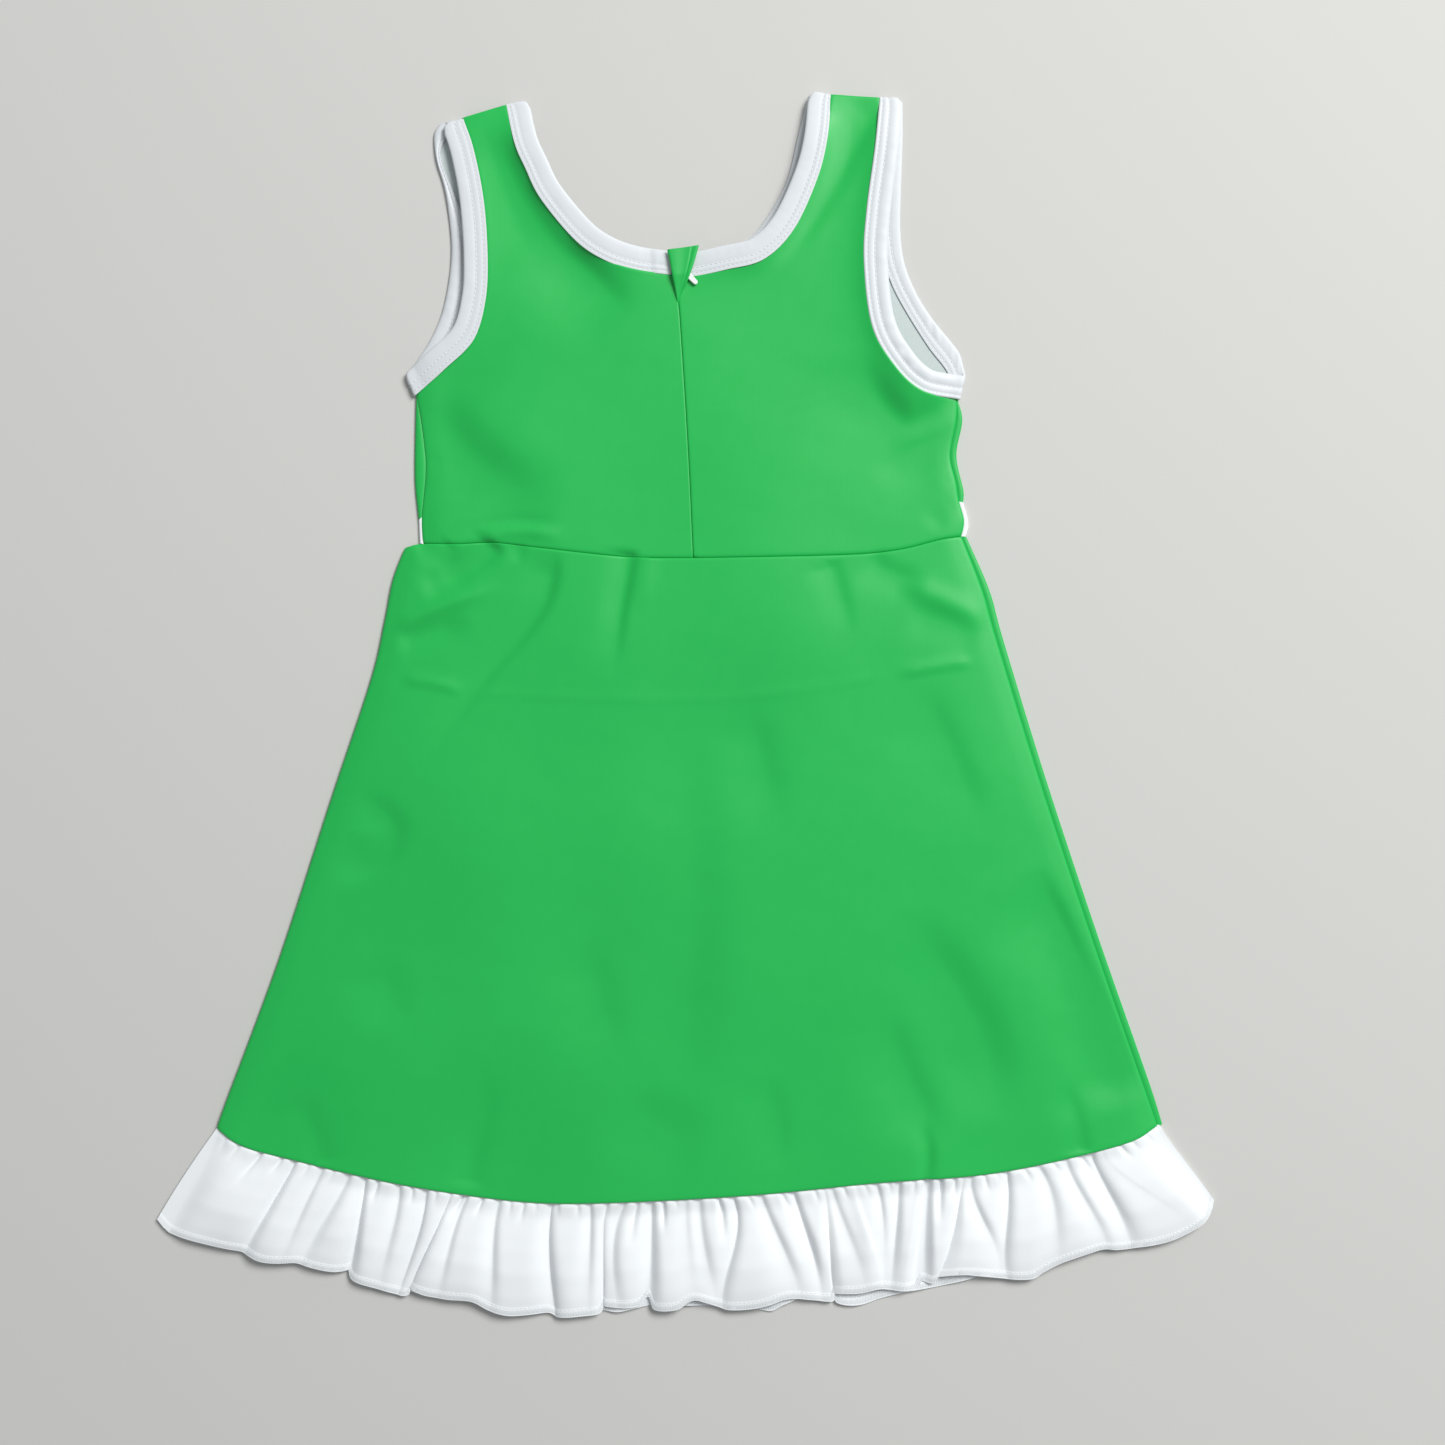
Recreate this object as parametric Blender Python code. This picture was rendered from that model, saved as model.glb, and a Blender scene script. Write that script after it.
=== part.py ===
"""A child's sleeveless jersey dress with a gathered hem ruffle, laid flat with its back side up.

The front layer rests on the ground plane and the back layer lies on it. X runs across the dress,
Y from the hem to the shoulders and Z up. The tables are in millimetres from the middle of the dress.
"""

import math
from collections import namedtuple

import bpy
import numpy as np
from mathutils import Vector
from mathutils.geometry import delaunay_2d_cdt

# Driving dimensions in millimetres
MM = 0.001
MIDDLE = (-0.25, -0.25)
WALL = 1.2
SEAM_GAP = 0.3

# Bindings: widths on each stretch, thickness, and how they turn at the underarm and the shoulder
BACK_BINDING = 12.0
FRONT_BINDING = 10.0
SHOULDER_BINDING = 11.4
UNDERARM_BINDING = 10.5
UNDERARM_REACH = 11.0
SHOULDER_TUCK = 1.7
BINDING_THICK = 1.8

# Height of the back layer's underside: at a side seam, past it, and lofted over the hollow inside
LAYER_SIDE = 1.5
LAYER_BOUND = 2.4
LAYER_LOFT = 1.0
SIDE_REACH = 6.0
LOFT_REACH = 28.0
FOLD_CLEAR = 12.0
SHOULDER_DIP = 0.45
SHOULDER_CURL = 0.45
SHOULDER_REACH = 5.0

# Ruffles: how high the back one rises between its folds, and the low waves of the front one
RUFFLE_LIFT = 4.6
RUFFLE_FLOOR = 2.9
RUFFLE_FOLD_WIDTH = 3.8
RUFFLE_END_REACH = 8.0
FRONT_RUFFLE_WAVE = 1.1
FRONT_RUFFLE_WAVES = 15
FRONT_RUFFLE_ROWS = 3

# Zip: the space between the binding's ends, its slider, and the pull on the slider's post
ZIP_SPACE = 8.4
GUARD_TOP = 7.1
SLIDER_SIZE = (4.4, 8.0, 2.2)
SLIDER_CENTRE = (-5.4, 228.6, 3.5)
SLIDER_CORNER = 1.0
POST_RADIUS, POST_HEIGHT = 0.7, 2.0
PULL_LENGTH, PULL_WIDTH, PULL_THICK, PULL_EYE = 16.3, 3.9, 1.0, 1.1
PULL_LEVEL = 5.3
PULL_ANGLE = math.radians(-45.5)

# Mesh steps in millimetres: coarse where a layer is hidden
BACK_STEP = 13.0
BODICE_STEP = 12.0
FRONT_STEP = 26.0
BINDING_STEP = 9.5
RUFFLE_COLUMNS = 142
RUFFLE_ROWS = 5
FRONT_RUFFLE_COLUMNS = 76

# Seams and edges, each a few (x, y) points that one smooth curve passes through
WAIST = ((-134.7, 82.9), (-118.6, 82.7), (-100.9, 83.4), (-80.1, 81.1), (-35.4, 76.4), (3.6, 75.4),
         (80.1, 77.0), (109.7, 79.6), (132.1, 85.0), (142.0, 86.6))
WAIST_BULGE = ((-146.6, 80.9), (-140.5, 82.6), (-134.7, 82.9))
HEM = ((-244.4, -221.5), (-231.9, -230.0), (-211.1, -236.1), (-148.7, -250.1), (-86.3, -259.2),
       (-34.3, -259.4), (38.5, -255.4), (100.9, -249.1), (163.3, -243.9), (225.7, -229.8), (245.4, -220.3))
SKIRT_LEFT = ((-146.6, 80.9), (-152.9, 64.0), (-157.0, 43.2), (-164.3, 12.0), (-185.1, -50.4),
              (-212.2, -133.6), (-239.2, -206.4), (-244.4, -221.5))
SKIRT_RIGHT = ((146.1, 86.6), (158.1, 58.8), (165.4, 32.8), (187.7, -40.0), (215.3, -123.2),
               (240.8, -196.0), (248.3, -219.6))
SKIRT_RIGHT_SEAM = ((142.0, 86.6), (154.4, 58.8), (162.2, 31.7), (184.6, -41.1), (212.2, -124.3),
                    (237.6, -197.1), (245.4, -220.3))
BODICE_LEFT = ((-140.6, 161.0), (-141.2, 142.0), (-141.4, 116.0), (-139.4, 95.2), (-137.8, 83.2))
BODICE_LEFT_SEAM = ((-140.6, 161.0), (-137.6, 142.0), (-135.8, 121.0), (-136.2, 96.7), (-134.7, 82.9))
BODICE_RIGHT = ((141.4, 158.6), (144.0, 147.2), (140.9, 129.0), (144.6, 110.8), (143.5, 104.5), (146.0, 93.0),
                (145.6, 86.8))
BODICE_RIGHT_SEAM = ((141.4, 158.6), (140.9, 147.2), (137.8, 129.0), (140.1, 114.9), (140.4, 105.0),
                     (142.4, 95.2), (142.0, 86.6))
CENTRE_BACK = ((-5.4, 222.6), (-4.2, 209.6), (-2.9, 194.0), (1.0, 131.6), (3.6, 75.4))
NECK_LEFT = ((-93.0, 311.3), (-88.4, 290.5), (-82.7, 277.2), (-74.9, 261.6), (-57.7, 240.8), (-43.2, 230.6),
             (-27.0, 225.2), (-5.4, 222.6))
NECK_RIGHT = ((75.1, 316.4), (72.8, 292.8), (67.6, 272.0), (55.6, 246.0), (40.0, 230.4), (20.3, 225.2),
              (4.7, 222.2), (-5.4, 222.6))
NECK_FRONT = ((-93.0, 311.3), (-88.4, 282.4), (-71.8, 251.2), (-39.5, 225.2), (2.1, 218.9), (37.4, 230.4),
              (60.8, 262.1), (70.2, 295.6), (75.1, 316.4))
ARMHOLE_LEFT = ((-116.5, 304.2), (-110.8, 287.6), (-105.6, 261.6), (-103.5, 233.0), (-104.5, 209.6),
                (-110.8, 188.8), (-126.4, 173.2), (-140.6, 161.0))
ARMHOLE_RIGHT = ((101.2, 314.8), (98.3, 287.6), (94.1, 256.4), (92.6, 229.3), (96.7, 196.0), (108.2, 174.7),
                 (122.2, 162.2), (141.4, 158.6))
ARMHOLE_LEFT_FRONT = ((-116.5, 304.2), (-117.9, 289.0), (-113.2, 261.6), (-111.2, 233.5), (-114.8, 204.4),
                      (-123.8, 180.4), (-131.0, 168.5), (-140.6, 161.0))
ARMHOLE_RIGHT_FRONT = ((101.2, 314.8), (101.0, 297.6), (99.8, 272.0), (103.0, 229.3), (111.8, 202.8),
                       (125.0, 182.0), (133.0, 166.5), (141.4, 158.6))
BAND_TOP = ((-139.4, 95.2), (-65.5, 90.6), (2.1, 89.0), (69.7, 93.0), (143.5, 104.5))
BAND_FOOT = ((-137.8, 83.2), (-65.5, 78.5), (2.1, 75.9), (69.7, 78.5), (145.6, 86.8))

# The hem edges of the two ruffles
RUFFLE_SIDE_LEFT, RUFFLE_SIDE_RIGHT = (-275.6, -269.4), (275.1, -259.0)
BACK_RUFFLE_HEM = ((-275.6, -269.4), (-266.8, -276.6), (-242.8, -282.4), (-211.6, -290.7), (-178.0, -297.2),
                   (-153.9, -306.0), (-123.8, -309.9), (-91.5, -317.6), (-62.0, -319.0), (-37.0, -314.0),
                   (-9.4, -316.0), (4.7, -311.2), (23.0, -316.2), (54.1, -309.9), (75.9, -310.4),
                   (99.8, -304.7), (117.0, -304.8), (133.1, -298.4), (172.0, -300.0), (202.8, -288.1),
                   (231.9, -283.9), (249.6, -279.8), (267.3, -270.9), (275.1, -259.0))
FRONT_RUFFLE_HEM = ((-272.0, -270.0), (-231.9, -281.0), (-138.3, -302.1), (-44.7, -314.1), (41.1, -316.0),
                    (93.1, -312.6), (129.5, -303.7), (184.1, -290.7), (246.5, -275.1), (271.0, -260.0))

# Folds of the back layer: a trough has a negative depth, a ridge a positive one
Fold = namedtuple("Fold", "path depth width")
BACK_FOLDS = (
    Fold(((-68, 77), (-72, 57), (-94, 34), (-114, 10), (-127, -7)), -1.6, 10),
    Fold(((-31, 75), (-35, 42), (-38, 10)), -1.2, 7),
    Fold(((-154, 36), (-128, 62), (-97, 72), (-76, 62)), 1.9, 9),
    Fold(((-8, 12), (-8, -120), (-8, -253)), -0.9, 13),
    Fold(((109, 62), (140, 49), (158, 45)), -1.5, 8),
    Fold(((111, 12), (148, 21)), -1.0, 8),
    Fold(((140, -14), (177, -45)), -1.1, 9),
    Fold(((179, -97), (197, -115), (216, -154), (229, -185)), -1.9, 9),
    Fold(((129, -137), (140, -167), (153, -207)), -1.5, 9),
    Fold(((118, -189), (126, -220), (124, -238)), -1.6, 7),
    Fold(((-163, -62), (-144, -70)), -0.9, 8),
    Fold(((-120, 146), (-108, 131), (-100, 118)), -1.2, 7),
    Fold(((-116, 86), (-100, 93), (-80, 92)), 1.2, 6),
    Fold(((96, 135), (118, 144), (138, 149)), 1.3, 6),
    Fold(((137, 146), (110, 128), (98, 124)), -1.2, 6),
    Fold(((-53, 233), (-43, 220), (-34, 209)), -0.9, 7),
    Fold(((-96, 305), (-78, 262), (-66, 248)), -0.6, 6),
    Fold(((101, 313), (88, 298), (83, 279), (72, 257), (59, 236)), -1.1, 7),
)

# Folds of the back ruffle: where each starts at the seam and ends at the hem, and its share of full depth
RuffleFold = namedtuple("RuffleFold", "seam hem depth")
RUFFLE_FOLDS = tuple(RuffleFold(*row) for row in (
    (-241, -260, 0.50), (-230, -246, 0.30), (-219, -238, 0.50), (-202, -229, 0.95), (-187, -201, 0.60),
    (-174, -192, 0.90), (-166, -175, 0.95), (-149, -156, 0.70), (-135, -148, 0.95), (-124, -140, 0.60),
    (-112, -123, 0.70), (-96, -101, 0.70), (-83, -86, 0.30), (-69, -68, 0.95), (-50, -51, 0.70),
    (-30, -37, 0.70), (-18, -20, 1.00), (0, 1, 0.40), (7, 13, 0.60), (23, 24, 0.90), (38, 56, 0.70),
    (55, 70, 0.90), (74, 89, 0.60), (98, 101, 0.40), (111, 109, 0.90), (126, 122, 1.00), (146, 133, 0.70),
    (166, 165, 0.90), (181, 196, 0.50), (197, 217, 0.80), (210, 232, 0.90), (228, 251, 0.40),
))

# Colours as linear RGB with their roughness
Finish = namedtuple("Finish", "colour roughness")
GREEN_JERSEY = Finish((0.034, 0.420, 0.080), 0.55)
WHITE_JERSEY = Finish((0.830, 0.850, 0.860), 0.60)
WHITE_PLASTIC = Finish((0.860, 0.870, 0.870), 0.35)


def clear_scene():
    """Removes whatever the open file holds."""
    for obj in list(bpy.data.objects):
        bpy.data.objects.remove(obj, do_unlink=True)


def spline(points, step):
    """Even points, about a step apart, on a smooth curve through the given points."""
    given = np.array(points, float)
    ends = np.vstack([2 * given[0] - given[1], given, 2 * given[-1] - given[-2]])
    dense = []
    for i in range(1, len(ends) - 2):
        a, b, c, d = ends[i - 1:i + 3]
        for t in np.linspace(0, 1, 16, endpoint=False):
            dense.append(0.5 * (2 * b + (c - a) * t + (2 * a - 5 * b + 4 * c - d) * t * t
                                + (3 * b - a - 3 * c + d) * t ** 3))
    dense = np.array(dense + [given[-1]])
    return resampled(dense, max(2, round(length_of(dense) / step)))


def length_of(points):
    return float(np.linalg.norm(np.diff(points, axis=0), axis=1).sum())


def resampled(points, count):
    """The same line with this many even stretches."""
    run = np.concatenate([[0], np.cumsum(np.linalg.norm(np.diff(points, axis=0), axis=1))])
    at = np.linspace(0, run[-1], count + 1)
    return np.column_stack([np.interp(at, run, points[:, k]) for k in range(points.shape[1])])


def side_vectors(points):
    """Unit vectors to the left of a line's run at each of its points."""
    along = np.gradient(points[:, :2], axis=0)
    along /= np.linalg.norm(along, axis=1)[:, None]
    return np.column_stack([-along[:, 1], along[:, 0]])


def distance_to(line, x, y):
    """How far each place is from a line of straight runs, and how far along it the nearest point lies."""
    line = np.asarray(line, float)
    best = np.full(np.shape(x), np.inf)
    share = np.zeros(np.shape(x))
    for k in range(len(line) - 1):
        run = line[k + 1] - line[k]
        t = ((x - line[k][0]) * run[0] + (y - line[k][1]) * run[1]) / (run @ run)
        t = np.clip(t, 0, 1)
        away = np.hypot(x - line[k][0] - t * run[0], y - line[k][1] - t * run[1])
        share = np.where(away < best, (k + t) / (len(line) - 1), share)
        best = np.minimum(best, away)
    return best, share


def bell(distance, width):
    return np.exp(-(distance / width) ** 2)


SIDE_LINES = [spline(line, 8.0) for line in
              (BODICE_LEFT_SEAM, BODICE_RIGHT_SEAM, SKIRT_LEFT, SKIRT_RIGHT_SEAM)]
FOLD_LINES = [(spline(fold.path, 6.0), fold) for fold in BACK_FOLDS]
SHOULDERS = ((NECK_LEFT[0], ARMHOLE_LEFT[0]), (NECK_RIGHT[0], ARMHOLE_RIGHT[0]))

def shoulder_nearness(x, y):
    return sum(bell(distance_to(line, x, y)[0], SHOULDER_REACH) for line in SHOULDERS)


def back_underside(x, y):
    """Height of the back layer's underside: low along the side seams, lofted inside them, with its folds."""
    x, y = np.asarray(x, float), np.asarray(y, float)
    side = np.minimum.reduce([distance_to(line, x, y)[0] for line in SIDE_LINES])
    lowest = LAYER_SIDE + (LAYER_BOUND - LAYER_SIDE) * (1 - bell(side, SIDE_REACH))
    height = lowest + LAYER_LOFT * (1 - np.exp(-side / LOFT_REACH))
    for line, fold in FOLD_LINES:
        away, share = distance_to(line, x, y)
        taper = np.sqrt(np.sin(np.pi * np.clip(share, 0.06, 0.94)))
        height = height + fold.depth * bell(away, fold.width) * taper * (1 - bell(side, FOLD_CLEAR))
    return np.maximum(height, lowest) - SHOULDER_DIP * shoulder_nearness(x, y)


def front_underside(x, y):
    """The front layer rests flat and only curls up to the shoulder seams."""
    return SHOULDER_CURL * shoulder_nearness(np.asarray(x, float), np.asarray(y, float))


def is_inside(outline, x, y):
    """Which places lie inside a closed outline."""
    crossed = np.zeros(np.shape(x), bool)
    for (x0, y0), (x1, y1) in zip(outline, np.roll(outline, -1, axis=0)):
        if y0 != y1:
            crossed ^= ((y0 > y) != (y1 > y)) & (x < (x1 - x0) * (y - y0) / (y1 - y0) + x0)
    return crossed


def joined(*lines):
    """One closed outline from edge lines that each start where the last ends."""
    points = np.vstack([line[:-1] for line in lines])
    keep = [i for i in range(len(points)) if np.linalg.norm(points[i] - points[i - 1]) > 0.5]
    return points[keep]


def inset(outline, gap):
    """A closed outline moved inwards, for the seam gap."""
    ahead = np.roll(outline, -1, axis=0) - outline
    ahead /= np.linalg.norm(ahead, axis=1)[:, None]
    back = np.roll(ahead, 1, axis=0)
    inward = np.column_stack([-(ahead + back)[:, 1], (ahead + back)[:, 0]])
    scale = np.maximum((inward ** 2).sum(axis=1), 0.8)[:, None]
    area = 0.5 * np.sum(outline[:, 0] * np.roll(outline[:, 1], -1) - np.roll(outline[:, 0], -1) * outline[:, 1])
    return outline + 2 * gap * math.copysign(1, area) * inward / scale


def triangulated(outline, step):
    """Points and triangles that fill an outline, with rows of points spread over it."""
    if np.sum(outline[:, 0] * np.roll(outline[:, 1], -1) - np.roll(outline[:, 0], -1) * outline[:, 1]) < 0:
        outline = outline[::-1]
    low, high = outline.min(axis=0), outline.max(axis=0)
    rows = np.arange(low[1] + step / 2, high[1], step * math.sqrt(3) / 2)
    x, y = [], []
    for index, row in enumerate(rows):
        places = np.arange(low[0] + step * (index % 2) / 2, high[0], step)
        x.extend(places)
        y.extend([row] * len(places))
    x, y = np.array(x), np.array(y)
    closed = np.vstack([outline, outline[:1]])
    keep = is_inside(outline, x, y) & (distance_to(closed, x, y)[0] > 0.55 * step)
    points = np.vstack([outline, np.column_stack([x[keep], y[keep]])])
    count = len(outline)
    found, _, faces, *_ = delaunay_2d_cdt([Vector(p) for p in points], [], [list(range(count))], 1, 1e-6)
    return np.array([tuple(p) for p in found]), [tuple(face) for face in faces], count


def new_object(name, points, faces, finish):
    """A smooth-shaded mesh object from points in millimetres."""
    mesh = bpy.data.meshes.new(name)
    placed = [((x - MIDDLE[0]) * MM, (y - MIDDLE[1]) * MM, z * MM) for x, y, z in points]
    mesh.from_pydata(placed, [], faces)
    mesh.materials.append(finish)
    mesh.validate()
    mesh.shade_smooth()
    mesh.set_sharp_from_angle(angle=math.radians(50))
    obj = bpy.data.objects.new(name, mesh)
    bpy.context.scene.collection.objects.link(obj)
    return obj


def cut_panel(name, outline, step, underside, finish, wall=WALL):
    """A panel of cloth: its outline filled, laid on a height and given its wall."""
    plan, faces, count = triangulated(outline, step)
    low = underside(plan[:, 0], plan[:, 1])
    total = len(plan)
    points = np.vstack([np.column_stack([plan, low]), np.column_stack([plan, low + wall])])
    solid = [tuple(reversed(face)) for face in faces]
    solid += [tuple(i + total for i in face) for face in faces]
    for i in range(count):
        j = (i + 1) % count
        solid.append((i, j, j + total, i + total))
    return new_object(name, points, solid, finish)


def turned_over(back_end, front_start, ahead, steps=5):
    """Points of the tight turn that takes a binding's edge from the back layer to the front one."""
    middle, radius = (back_end[2] + front_start[2]) / 2, (back_end[2] - front_start[2]) / 2
    points = []
    for k in range(1, steps + 1):
        angle = math.pi * k / (steps + 1)
        plan = back_end[:2] + (front_start[:2] - back_end[:2]) * k / (steps + 1)
        plan = plan + ahead * abs(radius) * math.sin(angle)
        points.append((*plan, middle + radius * math.cos(angle)))
    return np.array(points)


def binding_rails(line, side, widths, height, underarm=None, shoulders=(0, -1)):
    """The cloth edge and the free edge of one stretch of binding, at its middle height.

    It stops short of each shoulder to leave room for its turn, and near the underarm it swings square
    to the side seam that it turns round.
    """
    seam = spline(line, BINDING_STEP)
    for end in shoulders:
        back = seam[1 if end == 0 else -2] - seam[end]
        seam[end] += SHOULDER_TUCK * back / np.linalg.norm(back)
    out = side * side_vectors(seam)
    if underarm is not None:
        square = bell(np.linalg.norm(seam - np.array(underarm), axis=1), UNDERARM_REACH)[:, None]
        out = out * (1 - square) + np.array((0.0, 1.0)) * square
        out /= np.linalg.norm(out, axis=1)[:, None]
    share = np.linspace(0, 1, len(seam))
    width = np.interp(share, np.linspace(0, 1, len(widths)), widths)[:, None]
    near, far = seam + out * SEAM_GAP, seam + out * width
    level = height(seam[:, 0], seam[:, 1])[:, None]
    return np.hstack([near, level]), np.hstack([far, level])


def back_level(x, y):
    """Middle height of a binding on the back layer, clear of the one below it."""
    lowest = 1.5 * BINDING_THICK + SEAM_GAP
    return np.maximum(back_underside(x, y) + WALL / 2, lowest)


def front_level(x, y):
    return np.full(np.shape(x), BINDING_THICK / 2)


def chained(stretches, closed):
    """Joins stretches of binding with a turn over the edge between each pair."""
    near, far = [], []
    count = len(stretches)
    for index, (a, b) in enumerate(stretches):
        near.append(a)
        far.append(b)
        if index == count - 1 and not closed:
            break
        c, d = stretches[(index + 1) % count]
        ahead = (a[-1] - a[-2])[:2]
        ahead = ahead / np.linalg.norm(ahead)
        near.append(turned_over(a[-1], c[0], ahead))
        far.append(turned_over(b[-1], d[0], ahead))
    return np.vstack(near), np.vstack(far)


# The binding's section: share of its width, share of its thickness
BINDING_SECTION = ((0.0, -0.30), (0.10, -0.5), (0.90, -0.5), (1.0, -0.24), (1.0, 0.24), (0.90, 0.5), (0.10, 0.5),
                   (0.0, 0.30))


def swept_band(name, near, far, closed, finish):
    """A flat band with rounded edges between two rails."""
    middle = (near + far) / 2
    if closed:
        along = np.roll(middle, -1, axis=0) - np.roll(middle, 1, axis=0)
    else:
        along = np.gradient(middle, axis=0)
    across = far - near
    up = np.cross(along, across)
    up *= BINDING_THICK / np.linalg.norm(up, axis=1)[:, None]
    points = np.concatenate([near[:, None] + across[:, None] * a + up[:, None] * b for a, b in BINDING_SECTION],
                            axis=1)
    count, sides = points.shape[:2]
    faces = []
    for i in range(count if closed else count - 1):
        j = (i + 1) % count
        for k in range(sides):
            m = (k + 1) % sides
            faces.append((i * sides + k, i * sides + m, j * sides + m, j * sides + k))
    if not closed:
        faces.append(tuple(reversed(range(sides))))
        faces.append(tuple((count - 1) * sides + k for k in range(sides)))
    return outward(new_object(name, points.reshape(-1, 3), faces, finish))


def outward(obj):
    """Turns a mesh right way out if its faces point in."""
    mesh = obj.data
    volume = 0.0
    for face in mesh.polygons:
        corners = [mesh.vertices[i].co for i in face.vertices]
        for b, c in zip(corners[1:], corners[2:]):
            volume += corners[0].dot(b.cross(c))
    if volume < 0:
        mesh.flip_normals()
    return obj


def neck_binding(finish):
    """One binding round the whole neckline, from one side of the zip over both shoulders to the other."""
    back = (BACK_BINDING, BACK_BINDING, SHOULDER_BINDING)
    left = binding_rails(neck_run(NECK_LEFT, -ZIP_SPACE / 2), -1, back, back_level, shoulders=(-1,))
    front = binding_rails(NECK_FRONT, 1, (SHOULDER_BINDING, BACK_BINDING, SHOULDER_BINDING), front_level)
    right = binding_rails(neck_run(NECK_RIGHT, ZIP_SPACE / 2)[::-1], -1, back[::-1], back_level, shoulders=(0,))
    near, far = chained([left, front, right], closed=False)
    return swept_band("neck_binding", near, far, False, finish)


def neck_run(line, short):
    """The back neckline from the zip, which it stops short of, up to the shoulder."""
    zip_end = np.array(line[-1]) + np.array((short, 0.0))
    return tuple([tuple(zip_end)] + list(line[-2::-1]))


def armhole_binding(name, back, front, side, finish):
    """The closed ring of binding round one armhole."""
    widths = (SHOULDER_BINDING, BACK_BINDING, BACK_BINDING, UNDERARM_BINDING)
    front_widths = (UNDERARM_BINDING, FRONT_BINDING, FRONT_BINDING, SHOULDER_BINDING)
    back_rails = binding_rails(back, side, widths, back_level, back[-1], (0,))
    front_rails = binding_rails(front[::-1], -side, front_widths, front_level, front[-1], (-1,))
    near, far = chained([back_rails, front_rails], closed=True)
    return swept_band(name, near, far, True, finish)


def thick_sheet(name, middle, wall, finish):
    """A grid of points given its wall along the grid's own normals."""
    across, down = np.gradient(middle, axis=0), np.gradient(middle, axis=1)
    normal = np.cross(down, across)
    normal *= np.sign(normal[..., 2:3]) * wall / 2 / np.linalg.norm(normal, axis=2)[..., None]
    columns, rows = middle.shape[:2]
    total = columns * rows
    points = np.vstack([(middle + normal).reshape(-1, 3), (middle - normal).reshape(-1, 3)])
    faces = []
    for i in range(columns - 1):
        for j in range(rows - 1):
            a, b = i * rows + j, (i + 1) * rows + j
            faces.append((a, a + 1, b + 1, b))
            faces.append((a + total, b + total, b + 1 + total, a + 1 + total))
    rim = [i * rows for i in range(columns)]
    rim += [(columns - 1) * rows + j for j in range(1, rows)]
    rim += [i * rows + rows - 1 for i in range(columns - 2, -1, -1)]
    rim += [j for j in range(rows - 2, 0, -1)]
    for a, b in zip(rim, rim[1:] + rim[:1]):
        faces.append((a, b, b + total, a + total))
    return outward(new_object(name, points, faces, finish))


def ruffle_plan(seam, hem, side_left, side_right, columns, rows, folds):
    """Plan points of a ruffle: each column runs from the seam to the hem along the slant of its folds."""
    seam_x = np.array([seam[0, 0]] + [f.seam for f in folds] + [seam[-1, 0]])
    hem_x = np.array([side_left[0]] + [f.hem for f in folds] + [side_right[0]])
    top_x = np.linspace(seam[0, 0], seam[-1, 0], columns)
    foot_x = np.interp(top_x, seam_x, hem_x)
    top = np.column_stack([top_x, np.interp(top_x, seam[:, 0], seam[:, 1]) - SEAM_GAP])
    foot = np.column_stack([foot_x, np.interp(foot_x, hem[:, 0], hem[:, 1])])
    share = np.linspace(0, 1, rows)
    return top[:, None] * (1 - share[None, :, None]) + foot[:, None] * share[None, :, None], top_x, share


def back_ruffle(finish):
    """The gathered ruffle of the back layer, which rises between its folds and drops at each of them."""
    seam, hem = spline(HEM, 4.0), spline(BACK_RUFFLE_HEM, 3.0)
    plan, top_x, share = ruffle_plan(seam, hem, RUFFLE_SIDE_LEFT, RUFFLE_SIDE_RIGHT, RUFFLE_COLUMNS,
                                     RUFFLE_ROWS + 1, RUFFLE_FOLDS)
    from_end = np.minimum(top_x - top_x[0], top_x[-1] - top_x)
    puff = np.ones((RUFFLE_COLUMNS, RUFFLE_ROWS + 1))
    for fold in RUFFLE_FOLDS:
        fade = 1 - (1 - fold.depth) * share[None, :] ** 0.7
        puff *= 1 - np.minimum(0.95, fold.depth * fade) * bell(top_x - fold.seam, RUFFLE_FOLD_WIDTH)[:, None]
    lift = np.interp(share, (0.0, 0.25, 0.6, 1.0), (0.15, 0.75, 1.0, 0.85)) * RUFFLE_LIFT
    rest = LAYER_SIDE + (RUFFLE_FLOOR - LAYER_SIDE) * (1 - bell(from_end, FOLD_CLEAR))
    skirt = back_underside(plan[:, 0, 0], plan[:, 0, 1])
    floor = rest[:, None] + (skirt - rest)[:, None] * np.clip(1 - 3 * share, 0, 1)[None, :]
    ends = (1 - bell(from_end, RUFFLE_END_REACH))[:, None]
    height = floor + WALL * 0.75 + lift[None, :] * puff * ends
    return thick_sheet("hem_ruffle_back", np.dstack([plan, height]), WALL, finish)


def front_ruffle(finish):
    """The ruffle of the front layer, which lies on the ground in low waves."""
    seam, hem = spline(HEM, 4.0), spline(FRONT_RUFFLE_HEM, 4.0)
    plan, top_x, share = ruffle_plan(seam, hem, FRONT_RUFFLE_HEM[0], FRONT_RUFFLE_HEM[-1],
                                     FRONT_RUFFLE_COLUMNS, FRONT_RUFFLE_ROWS + 1, ())
    turn = 2 * math.pi * FRONT_RUFFLE_WAVES * (top_x - top_x[0]) / (top_x[-1] - top_x[0])
    wave = FRONT_RUFFLE_WAVE * (0.5 - 0.5 * np.cos(turn))[:, None] * share[None, :]
    return thick_sheet("hem_ruffle_front", np.dstack([plan, wave + WALL / 2]), WALL, finish)


# The guard flap's outline, round from its upper left corner
GUARD = ((-9.6, 233.9), (6.2, 236.2), (4.0, 227.6), (0.8, 218.4), (-2.6, 208.6), (-4.6, 206.4), (-6.2, 211.0),
         (-7.2, 219.0), (-9.0, 227.4))


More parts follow.
